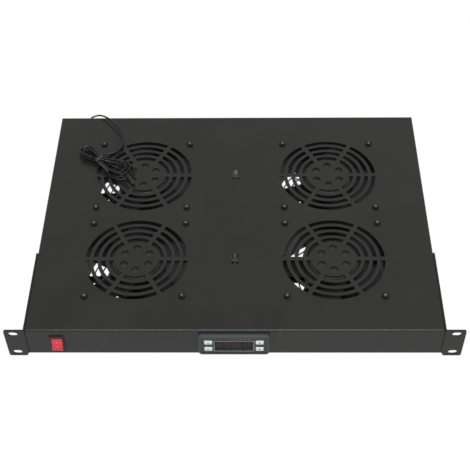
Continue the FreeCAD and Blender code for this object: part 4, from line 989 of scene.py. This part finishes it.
@dataclass
class Thermostat:
    """Panel thermostat: digits, key caps and marks, pilot spots, printed line, ribs, screws."""

    digit_wide: float = 5.6 * MM
    digit_high: float = 9.6 * MM
    digit_pitch: float = 8.4 * MM
    digits_left: float = 6.5 * MM
    slant: float = 0.12
    bar: float = 1.1 * MM
    cap_round: float = 0.9 * MM
    rim_face: float = 0.35 * MM
    line_out: float = 1.1 * MM
    line_wide: float = 0.75 * MM
    line_thick: float = 0.2 * MM
    grip_margin: float = 4.0 * MM
    grip_inset: float = 2.4 * MM
    grip_ribs: int = 16
    pilots: tuple[float, ...] = (7.0 * MM, 11.5 * MM, 15.5 * MM)
    pilots_over: float = 2.9 * MM
    terminals: int = 8

    def build(self) -> None:
        """Makes what the CAD thermostat leaves to the looks."""
        self._digits()
        self._keys()
        self._icons()
        self._window_line()
        self._grips()
        self._terminal_screws()

    def _digits(self) -> None:
        """Three unlit seven-segment digits on the display's face."""
        low, high = corners("control_display")
        mid = (low + high) / 2
        w, h, b = self.digit_wide, self.digit_high, self.bar
        bars = [
            ((w - b, b), (0, h / 2 - b / 2)),
            ((w - b, b), (0, 0)),
            ((w - b, b), (0, -h / 2 + b / 2)),
        ]
        for x in (-1, 1):
            for z in (-1, 1):
                bars.append(((b, h / 2 - b), (x * (w - b) / 2, z * h / 4)))
        parts = []
        for k in (-1, 0, 1):
            for (wide, tall), (x, z) in bars:
                across = mid.x - self.digits_left + k * self.digit_pitch + x + z * self.slant
                centre = Vector((across, low.y - 0.1 * MM, mid.z + z))
                parts.append(block(Vector((wide, 0.16 * MM, tall)), centre, 0.05 * MM, 1))
        digits = new_piece("display_digits", joined(parts), look(Finishes.SEGMENT))
        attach(digits, "tray")

    def _mark(self, kind: str) -> BMesh:
        """One small printed mark at the origin, facing the front.

        Args:
            kind: up, down, dash or dot.

        Returns:
            A closed bmesh.
        """
        if kind not in ("up", "down"):
            wide, tall = (3.4, 0.9) if kind == "dash" else (1.6, 1.6)
            return block(mm(wide, 0.12, tall), Vector(), 0.04 * MM, 1)
        mark = bmesh.new()
        bmesh.ops.create_cone(
            mark, cap_ends=True, segments=3, radius1=1.5 * MM, radius2=1.5 * MM, depth=0.12 * MM
        )
        spin = turned(90 if kind == "up" else -90)
        bmesh.ops.transform(mark, matrix=Axis.FRONT.matrix() @ spin, verts=mark.verts)
        return mark

    def _keys(self) -> None:
        """Pillow-edged silicone caps that stand for the plain keys, and the marks on them."""
        for name, kind in zip(KEYS, ("dot", "dash", "up", "down")):
            low, high = corners(name)
            size, centre = high - low, (low + high) / 2
            edge = min(self.cap_round, size.y * 0.45)
            cap = block(size, centre, edge, 5)
            cap = new_piece(f"{name}_cap", cap, look(Finishes.KEY_WHITE), ROUNDED)
            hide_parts(name)
            mark = self._mark(kind)
            bmesh.ops.translate(mark, vec=(centre.x, low.y, centre.z), verts=mark.verts)
            mark = new_piece(f"{name}_mark", mark, look(Finishes.KEY_PRINT))
            for piece in (cap, mark):
                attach(piece, name.replace("_key", "_cap"))

    def _window_line(self) -> None:
        """Thin printed line on the rim round the window."""
        low, high = corners("control_window")
        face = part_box("control_bezel")[0][1] + self.rim_face
        mid, size = (low + high) / 2, high - low
        wide, tall = size.x + 2 * self.line_out, size.z + 2 * self.line_out
        centre, edge = Vector((mid.x, face, mid.z)), 2 * self.line_wide
        outer = block(Vector((wide, self.line_thick, tall)), centre)
        inner = block(Vector((wide - edge, MM, tall - edge)), centre)
        line = new_piece("window_line", cut_away(outer, inner), look(Finishes.LINE))
        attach(line, "tray")

    def _grips(self) -> None:
        """Rows of small ribs down both ends of the bezel."""
        low, high = corners("control_bezel")
        mid = (low + high) / 2
        pitch = (high.z - low.z - 2 * self.grip_margin) / (self.grip_ribs - 1)
        rib = block(mm(2.3, 0.5, 0.9), Vector(), 0.2 * MM, 2)
        places = [
            Matrix.Translation(
                (mid.x + side * ((high.x - low.x) / 2 - self.grip_inset), low.y + 0.05 * MM,
                 low.z + self.grip_margin + pitch * k)
            )
            for side in (-1, 1)
            for k in range(self.grip_ribs)
        ]
        grips = new_piece("bezel_grips", copies(rib, places), look(Finishes.BEZEL_GREY), SMOOTH)
        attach(grips, "tray")

    def _icons(self) -> None:
        """Three small pilot spots above the window, for its three states."""
        low, high = corners("control_window")
        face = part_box("control_bezel")[0][1] + 0.8 * MM
        parts = []
        for x in self.pilots:
            spot = bmesh.new()
            bmesh.ops.create_cone(
                spot, cap_ends=True, segments=20, radius1=0.8 * MM, radius2=0.7 * MM,
                depth=0.3 * MM,
            )
            bmesh.ops.transform(spot, matrix=Axis.FRONT.matrix(), verts=spot.verts)
            centre = ((low.x + high.x) / 2 + x, face, high.z + self.pilots_over)
            bmesh.ops.translate(spot, vec=centre, verts=spot.verts)
            parts.append(spot)
        icons = new_piece("pilot_spots", joined(parts), look(Finishes.PILOT), SMOOTH)
        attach(icons, "tray")

    def _terminal_screws(self) -> None:
        """Slotted screws of the rear terminal block."""
        low, high = corners("control_terminals")
        pitch = (high.x - low.x) / self.terminals
        profile = [(0, 0.5), (1.5, 0.5), (1.8, 0.2), (1.8, -0.3), (0, -0.3)]
        head = lathe([(r * MM, z * MM) for r, z in profile], 24)
        head = cut_away(head, block(mm(5.0, 0.6, 1.0), mm(0, 0, 0.6)))
        places = [
            Matrix.Translation((low.x + pitch * (k + 0.5), high.y, (low.z + high.z) / 2))
            @ Axis.REAR.matrix()
            @ turned(31 * k)
            for k in range(self.terminals)
        ]
        screws = new_piece("terminal_screws", copies(head, places), look(Finishes.ZINC), SMOOTH)
        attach(screws, "tray")


@dataclass
class RockerMarks:
    """The bar and ring printed on the rocker's two halves."""

    frame: dict
    rise: float = 4.4 * MM
    dish: float = math.radians(10.0)
    rest_tilt: float = math.radians(-12.0)
    from_middle: float = 3.5 * MM
    print_thick: float = 0.1 * MM

    def build(self) -> None:
        """Makes both marks, which move with the rocker."""
        joints = self.frame["record"]["behaviour"]["joints"]
        pivot = Vector(next(j for j in joints if j["name"] == "rocker_tilt")["pos_m"])
        bar = block(Vector((0.9 * MM, 3.6 * MM, self.print_thick)), Vector(), 0.03 * MM, 1)
        inner, outer, half = 1.15 * MM, 1.95 * MM, self.print_thick / 2
        section = [(inner, -half), (outer, -half), (outer, half), (inner, half), (inner, -half)]
        for name, mark, side in (("rocker_bar", bar, 1), ("rocker_ring", lathe(section, 40), -1)):
            face = Matrix.Translation((0, -self.rise - self.from_middle * math.tan(self.dish), 0))
            up = Matrix.Translation((0, 0, side * self.from_middle))
            slope = Matrix.Rotation(math.pi / 2 - side * self.dish, 4, "X")
            tilt = Matrix.Translation(pivot) @ Matrix.Rotation(self.rest_tilt, 4, "X")
            bmesh.ops.transform(mark, matrix=tilt @ face @ up @ slope, verts=mark.verts)
            piece = new_piece(name, mark, look(Finishes.ROCKER_PRINT))
            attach(piece, "rocker")


def wires(paths: list[list[Vector]], closed: bool, thick: float) -> BMesh:
    """Round wire along each of several paths.

    Args:
        paths: points of each wire, in metres.
        closed: whether each wire meets its own start.
        thick: the wire's diameter.

    Returns:
        One bmesh that holds every wire.
    """
    curve = bpy.data.curves.new("wires", "CURVE")
    curve.dimensions = "3D"
    curve.bevel_depth, curve.bevel_resolution, curve.use_fill_caps = thick / 2, 2, True
    for path in paths:
        spline = curve.splines.new("POLY")
        spline.points.add(len(path) - 1)
        for control, point in zip(spline.points, path):
            control.co = (*point, 1.0)
        spline.use_cyclic_u = closed
    holder = bpy.data.objects.new("wires", curve)
    data = bpy.data.meshes.new_from_object(holder)
    mesh = bmesh.new()
    mesh.from_mesh(data)
    bpy.data.objects.remove(holder)
    bpy.data.curves.remove(curve)
    bpy.data.meshes.remove(data)
    return mesh


@dataclass
class WireGuards:
    """Plated wire guard under each fan: rings on four arms, each arm ending in a screwed eye."""

    screws: PanScrews
    thick: float = 1.9 * MM
    rings: tuple[float, ...] = (13.0, 21.0, 29.0, 37.0, 45.0, 53.0)
    steps: int = 64
    eye: float = 3.2 * MM
    eye_steps: int = 20
    screw_long: float = 6.0 * MM
    screw_scale: float = 0.92

    def build(self) -> None:
        """Makes one guard and its four screws for each fan."""
        for fan in FANS:
            centre = middle(f"{fan}_fan_frame")
            centre.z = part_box(f"{fan}_fan_frame")[0][2] - self.thick / 2
            guard = new_piece(f"{fan}_guard", self._guard(centre), look(Finishes.ZINC), ROUNDED)
            places = [
                Matrix.Translation((centre.x + x, centre.y + y, centre.z - self.thick / 2))
                @ Axis.DOWN.matrix()
                @ turned(40 * x / FAN_HOLE + 25 * y / FAN_HOLE)
                for x in (-FAN_HOLE, FAN_HOLE)
                for y in (-FAN_HOLE, FAN_HOLE)
            ]
            heads = new_piece(
                f"{fan}_guard_screws",
                copies(self.screws.one(self.screw_long, self.screw_scale), places),
                look(Finishes.BLACK_SCREW), HEAD_SMOOTH,
            )
            for piece, slot in ((guard, "zinc"), (heads, "black_screw")):
                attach(piece, "tray")

    def _round(self, centre: Vector, radius: float, steps: int) -> list[Vector]:
        """Points of a flat ring."""
        return [
            centre + Vector((math.cos(a), math.sin(a), 0)) * radius
            for a in (2 * math.pi * k / steps for k in range(steps))
        ]

    def _guard(self, centre: Vector) -> BMesh:
        """Rings, then arms that run under them and rise to the eyes.

        Args:
            centre: middle of the guard, at the level of its rings.

        Returns:
            The guard's bmesh.
        """
        rings = [self._round(centre, r * MM, self.steps) for r in self.rings]
        reach = math.hypot(FAN_HOLE, FAN_HOLE)
        under = Vector((0, 0, -self.thick * 0.9))
        arms = []
        for turn in (45, 135, 225, 315):
            out = Vector((math.cos(math.radians(turn)), math.sin(math.radians(turn)), 0))
            rings.append(self._round(centre + out * reach, self.eye, self.eye_steps))
            arms.append(
                [
                    centre + out * (self.rings[0] * MM) + under,
                    centre + out * (self.rings[-1] + 2) * MM + under,
                    centre + out * (self.rings[-1] + 8) * MM,
                    centre + out * (reach - self.eye),
                ]
            )
        return joined([wires(rings, True, self.thick), wires(arms, False, self.thick)])


@dataclass
class HubDiscs:
    """Plain foil disc on each fan's hub, seen through the holes of the vent's eye."""

    radius: float = 27.0 * MM
    thick: float = 0.9 * MM
    edge: float = 0.3 * MM
    hub_drop: float = 2.2 * MM

    def build(self) -> None:
        """Makes one disc per fan, which turns with the impeller."""
        for fan in FANS:
            centre = middle(f"{fan}_fan_frame")
            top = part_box(f"{fan}_fan_frame")[1][2] - self.hub_drop
            r, t = self.radius, self.thick
            disc = lathe([(0, t), (r - self.edge, t), (r, t - self.edge), (r, 0), (0, 0)], 64)
            bmesh.ops.translate(disc, vec=(centre.x, centre.y, top), verts=disc.verts)
            piece = new_piece(f"{fan}_hub_disc", disc, look(Finishes.FOIL), SMOOTH)
            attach(piece, f"{fan}_rotor")


@dataclass
class CadNodes:
    """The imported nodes, which keep their shapes and get their finishes."""

    frame: dict

    def build(self) -> None:
        """Gives each node the finish of its record slot."""
        slots = {row["node"]: row["material_slot"] for row in self.frame["record"]["subparts"]}
        for name, piece in self.frame["nodes"].items():
            material = look(getattr(Finishes, slots[name].upper()))
            piece.data.materials.clear()
            piece.data.materials.append(material)
        log.info("%d CAD nodes finished", len(slots))


def main() -> None:
    """Builds the scene in order."""
    logging.basicConfig(level=logging.INFO, format="%(message)s")
    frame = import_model()
    bpy.context.scene.view_settings.view_transform = "Standard"
    StudioCamera().build()
    SensorLead().build()
    Studio().build()
    CadNodes(frame).build()
    screws = PanScrews()
    screws.build()
    WireGuards(screws).build()
    Thermostat().build()
    RockerMarks(frame).build()
    HubDiscs().build()


if __name__ == "__main__":
    main()
